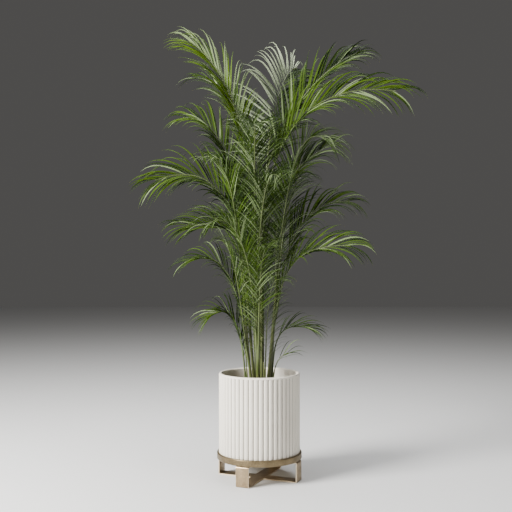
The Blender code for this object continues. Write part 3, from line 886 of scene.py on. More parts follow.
@dataclass
class Stub:
    """A petiole that was cut off: where it stands, where it was cut, and its radius.

    Rings crowd towards the cut by their power. The splay and the cut's lip fall off over their
    shares of the length. The dish's rings are (share of the radius, drop) pairs.
    """

    name: str
    foot: tuple[float, float]
    tip: Place
    radius: float
    taper: float = 0.22
    splay: float = 0.25
    splay_fall: float = 0.12
    cut_lip: float = 0.10
    lip_fall: float = 0.03
    dish: tuple[tuple[float, float], ...] = ((0.80, -0.0003), (0.45, -0.0012))
    rows: int = 26
    crowding: float = 1.6
    sides: int = 16

    def shell(self) -> Shell:
        """A tapering tube, splayed at its foot and a little swollen round the dished, pale cut.

        The radius is r * (1 - taper * s + splay * exp(-(s / fall)^2) + lip * exp(-((1 - s) / fall)^2)).

        Returns:
            The closed shell, whose second slot is the cut.
        """
        share = 1 - (1 - np.linspace(0, 1, self.rows)) ** self.crowding
        foot, tip = np.array([*self.foot, GROUND]), np.array(self.tip)
        splay = self.splay * np.exp(-((share / self.splay_fall) ** 2))
        lip = self.cut_lip * np.exp(-(((1 - share) / self.lip_fall) ** 2))
        size = self.radius * (1 - self.taper * share + splay + lip)
        shares, drops = np.array(self.dish).T
        dish = tip + drops[:, None] * UP
        line = np.concatenate([foot + share[:, None] * (tip - foot), dish])
        size = np.concatenate([size, size[-1] * shares])
        slots = np.repeat([0, 1], [(self.rows - 1) * self.sides, len(drops) * self.sides])
        return tube(line[:, None] + size[:, None, None] * circle(self.sides)[None], slots, ends=(0, 1))

    def dress(self) -> None:
        """Puts the stub, with its pale cut, in place of its solid."""
        made = self.shell().piece(f"stub_{self.name}_cut", [CANE.material(), CUT_END.material()], sharp=60)
        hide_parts(f"stub_{self.name}")


@dataclass
class Rib:
    """A frond's rib: a cubic curve from its foot, pulled up by its bow and out to its tip.

    Out is the frond's outward direction, and the flat side is level and square to it. The twist
    turns the side about the rib, from none at the foot to all of it at the tip, in radians.
    """

    controls: Array
    out: Array
    flat_side: Array
    twist: float
    base_radius: float
    tip_radius: float
    taper_power: float = 0.8
    samples: int = 200
    reach: float = 0.01
    steps: Array = field(init=False)
    lengths: Array = field(init=False)
    length: float = field(init=False)

    def __post_init__(self) -> None:
        """Measures the curve, so that places on it can be given as shares of its length."""
        self.steps = np.linspace(0, 1, self.samples)
        runs = np.linalg.norm(np.diff(self.bezier(self.steps), axis=0), axis=1)
        self.lengths = np.concatenate([[0], np.cumsum(runs)])
        self.length = float(self.lengths[-1])

    def bezier(self, t: Array) -> Array:
        """The cubic curve (1-t)^3 a + 3(1-t)^2 t b + 3(1-t) t^2 c + t^3 d.

        Args:
            t: The curve's own steps, from 0 to 1.

        Returns:
            One place for each step.
        """
        t = np.asarray(t)[..., None]
        s = 1 - t
        a, b, c, d = self.controls
        return s**3 * a + 3 * s * s * t * b + 3 * s * t * t * c + t**3 * d

    def frames(self, shares: Array) -> tuple[Array, Array, Array, Array]:
        """The rib's places and axes at shares of its length.

        The direction runs between two places a short reach apart. The side is the flat side made
        square to it and turned by the twist's share.

        Args:
            shares: Shares of the length, from 0 to 1.

        Returns:
            Points, directions, sides and upper normals.
        """
        t = np.interp(shares * self.length, self.lengths, self.steps)
        low, high = np.maximum(0.0, t - self.reach), np.minimum(1.0, t + self.reach)
        along = unit(self.bezier(high) - self.bezier(low))
        side = unit(self.flat_side - (along @ self.flat_side)[:, None] * along)
        up = np.cross(along, side)
        turn = (self.twist * shares)[:, None]
        turned = np.cos(turn) * side + np.sin(turn) * up
        return self.bezier(t), along, turned, np.cross(along, turned)

    def radius(self, shares: Array) -> Array:
        """Half the rib's width, tapering from the petiole to the tip."""
        return self.base_radius + (self.tip_radius - self.base_radius) * shares**self.taper_power


@dataclass(frozen=True)
class Row:
    """How one row of leaflets is held. Most fields are factors on the rule that all leaflets follow.

    Attributes:
        spread: Factor on the angle between leaflet and rib.
        tip: That angle at the frond's tip, in degrees, before the factor.
        droop: Factor on how far leaflets bend down.
        length: Factor on their length.
        width: Factor on their width.
        crowd: How many times the usual number grow.
        bare: Factor on the bare share of the rib under them.
        kept: The share of them that grew.
        to_light: How far their upper faces turn to the sky.
        roll: How far they turn about their own line, in radians.
        pale: The share that takes the glint's tint, a painted highlight.
        glint: The light tint that paints the sheen of light on their faces.
        first: The share of the rest that takes the spray's first tint.
    """

    spread: float = 0.9
    tip: float = 18.0
    droop: float = 1.05
    length: float = 1.0
    width: float = 1.0
    crowd: float = 1.0
    bare: float = 1.0
    kept: float = 1.0
    to_light: float = 0.5
    roll: float = 0.0
    # Painted highlight: this share of leaflets takes the glint's light tint in place of real sheen.
    painted_highlight_soft: float = 0.10
    glint: Tint = Tint.PAINTED_HIGHLIGHT_SOFT
    first: float = 0.6


class Habit(Enum):
    """The ways in which a row of leaflets is held."""

    EVEN = Row()
    # Painted light: nearly all of this row takes the spray's first tint, brighter where the light falls on it.
    CLOSE = Row(spread=0.95, droop=0.6, painted_highlight_soft=0.0, first=0.95)
    SLEEK = Row(spread=0.74, droop=0.95)
    WIDE = Row(spread=1.5, tip=6, droop=0.9, length=0.92, crowd=0.9, painted_highlight_soft=0.5)
    SPARSE = Row(spread=0.85, droop=1.1, length=0.92, kept=0.55)
    # Painted highlight: every leaflet of this row takes the strongest highlight tint.
    FAN = Row(
        spread=1.45, droop=0.85, length=0.85, crowd=0.85, to_light=0.2, roll=1.0, painted_highlight_soft=1.0, glint=Tint.PAINTED_HIGHLIGHT_STRONG
    )
    HANGING = Row(spread=1.0, droop=1.5, bare=0.7, kept=0.85)
    STREAMING = Row(spread=0.55, tip=38, length=1.05, painted_highlight_soft=0.08)
    UPRIGHT = Row(spread=1.9, tip=7, droop=1.0)
    NARROWING = Row(spread=1.05, tip=11, droop=1.0)
    SKIRTING = Row(spread=1.3, tip=14, droop=1.15)
    LEVEL = Row(droop=0.8)
    CREST = Row(spread=1.4, tip=8, droop=0.8, length=0.96, painted_highlight_soft=0.08, first=0.3)
    # Painted shade: most of this row takes the deep tint, for the shade that falls on it.
    SHADED = Row(painted_highlight_soft=0.0, first=0.2)
    DRAPED = Row(spread=0.85, droop=1.2, bare=0.4, kept=0.85)
    BOUND = Row(spread=0.48, droop=0.8, painted_highlight_soft=0.15)
    TRAILING = Row(spread=0.95, tip=25, droop=1.1, kept=0.85, painted_highlight_soft=0.15)
    LOOSE = Row(
        spread=1.15, droop=0.9, length=0.95, width=0.52, crowd=1.9, bare=0.42, to_light=1.2, painted_highlight_soft=0.2
    )
    LOW = Row(spread=1.1, droop=0.95, length=0.95, width=0.62, crowd=1.4, bare=0.5, to_light=0.8, painted_highlight_soft=0.2)
    FEATHERED = Row(spread=1.0, length=1.06, width=0.95, crowd=1.2, bare=0.6, painted_highlight_soft=0.15)


@dataclass(frozen=True)
class LeafRule:
    """The rule that all leaflets follow. Angles are in degrees, and lengths in metres.

    Pairs are the least and the most that chance adds or multiplies by, and "along" runs from 0 at
    the lowest leaflet to 1 at the last.

    Attributes:
        spacing: Between two leaflets of a frond of size 1.
        place_jitter: How far a leaflet strays from its place, in spacings.
        last: The share of the rib where the last leaflet sits.
        closing: The power of along by which the spread closes towards the tip.
        spread_jitter: How far the spread strays.
        lift: The angle above the rib's own side.
        lift_fall: What the lift loses by the last leaflet.
        lift_jitter: How far the lift strays.
        droop: How far the lowest leaflets bend down.
        droop_gain: What the droop gains by the last leaflet.
        droop_jitter: How far the droop strays.
        bend: The power of the way out by which a leaflet bends.
        short: The shortest length, as a share of the longest.
        rest: The rest of that share, which a sine adds.
        wave: Where the sine starts and how far it runs, in half turns.
        wave_power: The power that rounds the sine.
        length_jitter: How far the length strays.
        seat: How far out on the rib the root sits, as a share of its radius.
        roll_jitter: How far the roll strays, at the root and again by the tip, in radians.
        width: The width of a leaflet of full length.
        full_length: The length at which it has that width.
        thickness: At the root.
        thinning: The share of the thickness that is lost by the tip.
        fold: How far the edges fold up, as a share of half the width.
        stations: Sections down a leaflet.
        crowding: The power that brings the sections closer at the tip.
        root: The outline's share at the root.
        belly: The rest of the outline, at its widest.
        belly_place: The power that puts the widest place before halfway.
        belly_round: The power that rounds it.
        point: The power that draws the outline out to its point.
        least: The outline's least share.
    """

    spacing: float = 0.0130
    place_jitter: float = 0.25
    last: float = 0.985
    closing: float = 1.1
    spread_jitter: float = 4.0
    lift: float = 22.0
    lift_fall: float = 8.0
    lift_jitter: tuple[float, float] = (-9.0, 9.0)
    droop: float = 0.85
    droop_gain: float = 0.65
    droop_jitter: tuple[float, float] = (-0.35, 0.45)
    bend: float = 2.3
    short: float = 0.45
    rest: float = 0.55
    wave: tuple[float, float] = (0.22, 0.70)
    wave_power: float = 0.9
    length_jitter: tuple[float, float] = (0.88, 1.07)
    seat: float = 0.6
    roll_jitter: tuple[float, float] = (-0.5, 0.5)
    width: float = 0.0085
    full_length: float = 0.25
    thickness: float = 0.0007
    thinning: float = 0.6
    fold: float = 0.34
    stations: int = 10
    crowding: float = 1.35
    root: float = 0.24
    belly: float = 0.76
    belly_place: float = 0.62
    belly_round: float = 0.8
    point: float = 6.0
    least: float = 0.03

    def steps(self) -> Array:
        """Stations down a leaflet, from 0 at its root to 1 at its tip, closer together at the tip."""
        return 1 - (1 - np.linspace(0, 1, self.stations)) ** self.crowding

    def outline(self) -> Array:
        """The width at each station: (root + belly * sin(pi * s^place)^round) * (1 - s^point).

        Returns:
            Shares of the leaflet's width, from root to tip.
        """
        steps = self.steps()
        swell = np.sin(math.pi * steps**self.belly_place) ** self.belly_round
        return np.maximum((self.root + self.belly * swell) * (1 - steps**self.point), self.least)


LEAF = LeafRule()


@dataclass
class Frond:
    """One frond: its place, its arch, and its two rows of leaflets.

    Attributes:
        name: The frond's name, without its kind.
        holder: The cane that it leaves, or its place on the compost.
        azimuth: The way it faces, in degrees from +X towards +Y.
        leave: The height at which it leaves.
        bow: How far out and how high the curve is pulled.
        tip: How far out and how high it ends.
        leaf: The length of its longest leaflets.
        bare: The share of the rib with no leaflets.
        twist: How far its tip is turned about the rib, in degrees.
        open: The angle between leaflets and rib at its base, in degrees.
        size: Factor on its thickness and on how many leaflets it has.
        tints: The tints of its leaflets.
        upper: How the row is held on the side that the twist lifts.
        lower: How the other row is held.
        petiole_radius: At its foot, for a frond of size 1.
        rib_tip_radius: At its tip, for a frond of size 1.
        stiff_share: How much of the way to the bow's height it grows straight.
        lean: How far it leans out on that way.
        sway_share: How much of the tip's sway the bow takes.
        cane_sides: Sides of the cane's solid, against which it is seated.
        seat: How much of its radius keeps clear of the cane.
        below: How far below its foot the cane's own direction is read.
        sheath_length: Height of the sheath under it.
        sheath_clasp: Radius of the sheath's lower edge, as a factor on the cane's.
        sheath_rings: Rings of the sheath.
        foot_swell: The share by which its foot is swollen.
        foot_length: The length over which that falls off.
        rings: Rings of the petiole and rib.
        crowding: The power that brings rings closer at the foot.
        sides: Sides of the petiole and rib.
        channel_depth: Depth of the channel, as a share of the radius.
        channel_width: Half its width, in radians.
        flatness: The share by which the section is flattened.
    """

    name: str
    holder: str | tuple[float, float]
    azimuth: float
    leave: float
    bow: tuple[float, float]
    tip: tuple[float, float]
    leaf: float
    bare: float
    twist: float
    open: float
    size: float
    tints: Spray
    upper: Habit = Habit.EVEN
    lower: Habit = Habit.EVEN
    petiole_radius: float = 0.0046
    rib_tip_radius: float = 0.0014
    stiff_share: float = 0.55
    lean: float = 0.014
    sway_share: float = 0.3
    cane_sides: int = 8
    seat: float = 0.9
    below: float = 0.03
    sheath_length: float = 0.085
    sheath_clasp: float = 1.13
    sheath_rings: int = 14
    foot_swell: float = 0.45
    foot_length: float = 0.035
    rings: int = 60
    crowding: float = 1.15
    sides: int = 12
    channel_depth: float = 0.22
    channel_width: float = 0.45
    flatness: float = 0.1

    def rib(self, canes: dict[str, Cane], sway: float) -> Rib:
        """The rib from where the petiole leaves its cane or the compost.

        Args:
            canes: The canes by name.
            sway: How far the tip swings to one side.

        Returns:
            The measured rib.
        """
        angle = math.radians(self.azimuth)
        out = np.array([math.cos(angle), math.sin(angle), 0.0])
        side = np.array([-math.sin(angle), math.cos(angle), 0.0])
        base = self.petiole_radius * self.size
        start, growing = self.start(canes, out, angle, base)
        rise = self.stiff_share * (self.bow[1] - start[2])
        first = start + growing * rise + out * self.lean
        second = start + out * self.bow[0] + side * sway * self.sway_share
        second[2] = self.bow[1]
        last = start + out * self.tip[0] + side * sway
        last[2] = self.tip[1]
        controls = np.array([start, first, second, last])
        twist = math.radians(self.twist)
        return Rib(controls, out, side, twist, base, self.rib_tip_radius * self.size**0.5)

    def start(self, canes: dict[str, Cane], out: Array, angle: float, base: float) -> tuple[Array, Array]:
        """Where the petiole begins, and the direction it grows in there.

        Args:
            canes: The canes by name.
            out: The frond's outward direction.
            angle: The azimuth in radians.
            base: The petiole's radius at its foot.

        Returns:
            The foot and its direction.
        """
        if isinstance(self.holder, tuple):
            return np.array([*self.holder, self.leave]), UP
        cane = canes[self.holder]
        here, under = cane.at(np.array([self.leave, self.leave - self.below]))
        growing = unit(here - under)
        if self.leave >= cane.tip[2]:
            return here + FIT * UP, growing
        corner = 2 * math.pi / self.cane_sides
        off = (angle + corner / 2) % corner - corner / 2
        reach = float(cane.radius_at(np.array(self.leave))) * math.cos(off) + self.seat * base
        return here + out * (reach + FIT), growing

    def sheath(self, rib: Rib, canes: dict[str, Cane]) -> tuple[Array, Array]:
        """The sheath under a petiole that leaves its cane's side, as ring centres and radii.

        It clasps the cane at its lower edge and draws out into the petiole: with s smoothed from 0
        at that edge to 1 at the petiole's foot, the centre is cane + s * (foot - cane at the foot)
        and the radius is (1 - s) * clasp * cane + s * foot.

        Args:
            rib: The frond's rib.
            canes: The canes by name.

        Returns:
            Centres and radii from the lower edge up. Both are empty for a frond with no sheath.
        """
        cane = None if isinstance(self.holder, tuple) else canes[self.holder]
        if cane is None or self.leave >= cane.tip[2]:
            return np.zeros((0, 3)), np.zeros(0)
        climb = np.linspace(0, 1, self.sheath_rings + 1)[:-1]
        smooth = climb * climb * (3 - 2 * climb)
        heights = self.leave - self.sheath_length * (1 - climb)
        foot = rib.controls[0] - cane.at(np.array(self.leave))
        centres = cane.at(heights) + smooth[:, None] * foot
        clasp = self.sheath_clasp * cane.radius_at(heights)
        radii = (1 - smooth) * clasp + smooth * rib.base_radius * (1 + self.foot_swell)
        return centres, radii

    def limb(self, rib: Rib, canes: dict[str, Cane]) -> Shell:
        """The sheath, petiole and rib: a flattened section with a channel on its upper side.

        The section's radius is 1 - depth * bell, where the bell stands round the upper side. The
        foot is swollen over its first few centimetres. The sheath starts round and takes on the
        channel as it rises.

        Args:
            rib: The frond's rib.
            canes: The canes by name.

        Returns:
            The closed shell.
        """
        shares = np.linspace(0, 1, self.rings) ** self.crowding
        points, _, side, up = rib.frames(shares)
        side[0], up[0] = rib.flat_side, -rib.out
        swell = 1 + self.foot_swell * np.exp(-((shares * rib.length / self.foot_length) ** 2))
        centres, clasping = self.sheath(rib, canes)
        lower = len(centres)
        points = np.concatenate([centres, points])
        radii = np.concatenate([clasping, rib.radius(shares) * swell])
        side = np.concatenate([np.tile(rib.flat_side, (lower, 1)), side])
        up = np.concatenate([np.tile(-rib.out, (lower, 1)), up])
        formed = np.concatenate([np.linspace(0, 1, lower), np.ones(len(shares))])[:, None]
        angle = 2 * math.pi * np.arange(self.sides) / self.sides
        off = np.abs(angle - math.pi / 2)
        bell = np.exp(-((np.minimum(off, 2 * math.pi - off) / self.channel_width) ** 2))
        shape = 1 - self.channel_depth * formed * bell
        wide = radii[:, None] * np.cos(angle) * shape
        tall = (1 - self.flatness * formed) * radii[:, None] * np.sin(angle) * shape
        return tube(points[:, None] + wide[..., None] * side[:, None] + tall[..., None] * up[:, None])

    def row(self, sign: int) -> Row:
        """The upper row's way of growing on the side that the twist lifts, and else the lower's."""
        return (self.upper if sign * self.twist > 0 else self.lower).value

    def leaf_places(self, rib: Rib, row: Row, rng: np.random.Generator) -> tuple[Array, Array]:
        """Where leaflets sit: evenly along the leafy part, each a little off its place.

        Args:
            rib: The frond's rib.
            row: How the row is held.
            rng: The frond's own random source.

        Returns:
            Shares of the rib's length and shares of its leafy part.
        """
        bare = self.bare * row.bare
        count = max(2, int(rib.length * (1 - bare) * self.size * row.crowd / LEAF.spacing))
        jitter = rng.uniform(-LEAF.place_jitter, LEAF.place_jitter, count) / count
        along = np.clip(np.linspace(0, 1, count) + jitter, 0, 1)
        return bare + (LEAF.last - bare) * along, along

    def leaf_lines(self, rib: Rib, sign: int, rng: np.random.Generator) -> dict[str, Array]:
        """The middle line, cross direction, normal and width of each leaflet in one row.

        A leaflet sets out between the rib's direction and its side by its spread, which closes from
        the frond's open angle to the row's tip angle, lifted towards the upper normal. It bends
        down by its droop times a power of the way out. Its length follows a sine along the frond,
        and its width keeps in step with the length.

        Args:
            rib: The frond's rib.
            sign: 1 for the left row and -1 for the right.
            rng: The frond's own random source.

        Returns:
            The leaflets' "line", "across", "normal" and "width".
        """
        row = self.row(sign)
        shares, along = self.leaf_places(rib, row, rng)
        count = len(shares)
        point, ahead, side, up = rib.frames(shares)
        spread = (self.open - (self.open - row.tip) * along**LEAF.closing) * row.spread
        spread = np.radians(spread + rng.normal(0, LEAF.spread_jitter, count))[:, None]
        lift = LEAF.lift - LEAF.lift_fall * along + rng.uniform(*LEAF.lift_jitter, count)
        lift = np.radians(lift)[:, None]
        droop = (LEAF.droop + LEAF.droop_gain * along) * row.droop + rng.uniform(*LEAF.droop_jitter, count)
        start, run = LEAF.wave
        wave = LEAF.short + LEAF.rest * np.sin(math.pi * (start + run * along)) ** LEAF.wave_power
        length = self.leaf * wave * row.length * rng.uniform(*LEAF.length_jitter, count)
        wing = np.cos(lift) * sign * side + np.sin(lift) * up
        heading = np.cos(spread) * ahead + np.sin(spread) * wing
        across = np.sin(spread) * ahead - np.cos(spread) * wing
        steps = LEAF.steps()
        middle = (steps[1:] + steps[:-1]) / 2
        fall = UP * droop[:, None, None] * middle[None, :, None] ** LEAF.bend
        bent = unit(heading[:, None] - fall)
        moves = bent * length[:, None, None] * np.diff(steps)[None, :, None]
        root = point + sign * side * rib.radius(shares)[:, None] * LEAF.seat
        line = root[:, None] + np.concatenate([np.zeros((count, 1, 3)), np.cumsum(moves, axis=1)], axis=1)
        forward = unit(np.concatenate([bent[:, :1], bent[:, 1:] + bent[:, :-1], bent[:, -1:]], axis=1))
        level, normal = self.turned_to_sky(forward, across, sign, row.to_light)
        roll = (row.roll + rng.uniform(*LEAF.roll_jitter, count))[:, None, None]
        turn = roll + rng.uniform(*LEAF.roll_jitter, count)[:, None, None] * steps[None, :, None]
        turned = np.cos(turn) * level + np.sin(turn) * normal
        return {
            "line": line,
            "across": turned,
            "normal": np.cross(forward, turned) * -sign,
            "width": LEAF.width * row.width * length / LEAF.full_length,
        }

    @staticmethod
    def turned_to_sky(forward: Array, across: Array, sign: int, share: float) -> tuple[Array, Array]:
        """Cross directions and normals of leaflets whose upper faces turn towards the sky.

        The cross direction is made square to the leaflet's own. The upward direction, made square
        too, is then added to the normal, by the share times how far the normal is from upright.

        Args:
            forward: The leaflets' own directions, as leaflet, station and direction.
            across: Their cross directions at the root.
            sign: 1 for the left row and -1 for the right.
            share: How far they turn.

        Returns:
            Cross directions and normals.
        """
        level = across[:, None] - np.sum(across[:, None] * forward, axis=-1, keepdims=True) * forward
        normal = np.cross(forward, unit(level)) * -sign
        sky = UP - forward[..., 2:] * forward
        normal = unit(normal + share * np.clip(1 - normal[..., 2:], 0, 1) * sky)
        return -sign * np.cross(normal, forward), normal

    def blades(self, lines: dict[str, Array], sign: int) -> tuple[Array, Array, Array, Array]:
        """Leaflets as thin folded blades, each section an edge, a valley, an edge and a keel.

        A blade is narrow at the root, widest before halfway and drawn out to a point, as the rule's
        outline says. Its two halves fold up from the midrib.

        Args:
            lines: What leaf_lines gives.
            sign: 1 for the left row and -1 for the right.

        Returns:
            Points, faces, places on the surface and slots, where the second slot is the underside.
        """
        count, rows = lines["line"].shape[:2]
        steps = LEAF.steps()
        half = lines["width"][:, None, None] / 2 * LEAF.outline()[None, :, None]
        thick = LEAF.thickness * (1 - LEAF.thinning * steps)[None, :, None] / 2
        fold = LEAF.fold * half
        left = lines["line"] - lines["across"] * half + lines["normal"] * fold
        right = lines["line"] + lines["across"] * half + lines["normal"] * fold
        valley = lines["line"] + lines["normal"] * thick
        keel = lines["line"] - lines["normal"] * thick
        points = np.stack([left, valley, right, keel], axis=2).reshape(-1, 3)
        quads = grid_faces(rows, 4)
        ends = np.array([[3, 2, 1, 0], [4 * rows - 4, 4 * rows - 3, 4 * rows - 2, 4 * rows - 1]])
        one = np.concatenate([quads, ends])
        if sign > 0:
            one = one[:, ::-1]
        faces = (one[None] + (4 * rows * np.arange(count))[:, None, None]).reshape(-1, 4)
        under = np.zeros(len(one), dtype=int)
        under[: len(quads)] = np.tile([0, 0, 1, 1], rows - 1)
        place = np.stack(np.broadcast_arrays(np.array([0, 0.5, 1, 0.5])[None], steps[:, None]), axis=-1)
        uvs = np.tile(place.reshape(-1, 2), (count, 1))
        return points, faces, uvs, np.tile(under, count)


@dataclass
class Clump:
    """The whole palm: canes from the compost, fronds from the canes, and cut stubs between them.

    Leaflets keep the clearance from every cane, and a frond's tip sways by up to its limit.
    """

    canes: list[Cane]
    stubs: list[Stub]
    fronds: list[Frond]
    clearance: float = 0.0015
    sway: float = 0.03
    frond_seeds: int = 100

    def by_name(self) -> dict[str, Cane]:
        """The canes by name."""
        return {cane.name: cane for cane in self.canes}

    def ribs(self) -> list[Rib]:
        """Every frond's rib, each with its own slight sway to one side.

        Returns:
            The ribs, in the fronds' order.
        """
        rng = random.Random(SEED)
        canes = self.by_name()
        return [frond.rib(canes, rng.uniform(-self.sway, self.sway)) for frond in self.fronds]

    def clear_of_canes(self, line: Array) -> Array:
        """Which leaflets keep clear of every cane beyond their root.

        Args:
            line: The middle lines of the leaflets, as leaflet, station and place.

        Returns:
            True for each leaflet that is clear.
        """
        kept = np.ones(len(line), dtype=bool)
        reach = line[:, 1:]
        for cane in self.canes:
            height = np.clip(reach[..., 2], GROUND, cane.tip[2])
            away = np.linalg.norm(reach - cane.at(height), axis=-1)
            kept &= (away > cane.radius_at(height) + self.clearance).all(axis=1)
        return kept

    def leaves(self, ribs: list[Rib]) -> dict[Tint, Shell]:
        """All leaflets, gathered by tint. Each takes its row's glint, or its frond's first or second.

        Args:
            ribs: The ribs, in the fronds' order.

        Returns:
            One shell for each tint.
        """
        shells = {tint: Shell() for tint in Tint}
        for index, (frond, rib) in enumerate(zip(self.fronds, ribs)):
            rng = np.random.default_rng(SEED + self.frond_seeds * index)
            for sign in (1, -1):
                lines = frond.leaf_lines(rib, sign, rng)
                row = frond.row(sign)
                kept = self.clear_of_canes(lines["line"])
                kept &= rng.uniform(0, 1, len(kept)) < row.kept
                # The glint's share paints highlights onto leaflets; the rest take the frond's own tints.
                shares = (row.painted_highlight_soft, row.painted_highlight_soft + row.first * (1 - row.painted_highlight_soft))
                dealt = np.digitize(rng.uniform(0, 1, len(kept)), shares)
                for number, tint in enumerate((row.glint, *frond.tints.value)):
                    chosen = kept & (dealt == number)
                    if chosen.any():
                        part = {key: value[chosen] for key, value in lines.items()}
                        shells[tint].add(*frond.blades(part, sign))
        return shells

    def dress(self) -> None:
        """Puts ringed canes, cut stubs, ribs and leaflets in place of the plain solids."""
        for cane in self.canes:
            cane.dress()
            LOG.info("cane %s", cane.name)
        for stub in self.stubs:
            stub.dress()
            LOG.info("stub %s", stub.name)
        ribs, canes = self.ribs(), self.by_name()
        for frond, rib in zip(self.fronds, ribs):
            made = frond.limb(rib, canes).piece(f"rib_{frond.name}", [PETIOLE.material()], sharp=70)
            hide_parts(f"frond_{frond.name}")
            LOG.info("rib %s, %.2f m", frond.name, rib.length)
        nodes = [f"frond_{frond.name}" for frond in self.fronds]
        for tint, shell in self.leaves(ribs).items():
            materials = [tint.upper().material(), tint.lower().material()]
            made = shell.piece(f"leaflets_{tint.name.lower()}", materials, sharp=60)
            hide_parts(*nodes)
            LOG.info("leaflets %s, %d faces", tint.name.lower(), len(shell.faces))


def grown_canes() -> list[Cane]:
    """The eight canes, where the photograph shows their feet and how they lean.

    Returns:
        Each with its name, foot, tip and radius.
    """
    return [
        Cane("left_front", (-0.034, -0.020), (-0.060, -0.040, 0.70), 0.0062),
        Cane("left_back", (-0.022, 0.022), (-0.060, 0.040, 0.92), 0.0070),
        Cane("middle_front", (-0.005, -0.012), (-0.018, -0.030, 1.02), 0.0088),
        Cane("middle_back", (0.012, 0.016), (0.010, 0.030, 1.16), 0.0095),
        Cane("right_front", (0.036, -0.014), (0.075, -0.030, 0.86), 0.0080),
        Cane("right_back", (0.044, 0.024), (0.060, 0.034, 0.62), 0.0070),
        Cane("front", (-0.006, -0.046), (-0.009, -0.080, 0.69), 0.0070),
        Cane("back", (0.006, 0.052), (-0.004, 0.092, 0.78), 0.0075),
    ]


def cut_stubs() -> list[Stub]:
    """The two stubs that stand among the feet of the canes.

    Returns:
        Each with its name, foot, tip and radius.
    """
    return [
        Stub("tall", (0.010, -0.028), (0.010, -0.030, 0.607), 0.0055),
        Stub("short", (0.020, -0.064), (0.018, -0.068, 0.505), 0.0038),
    ]


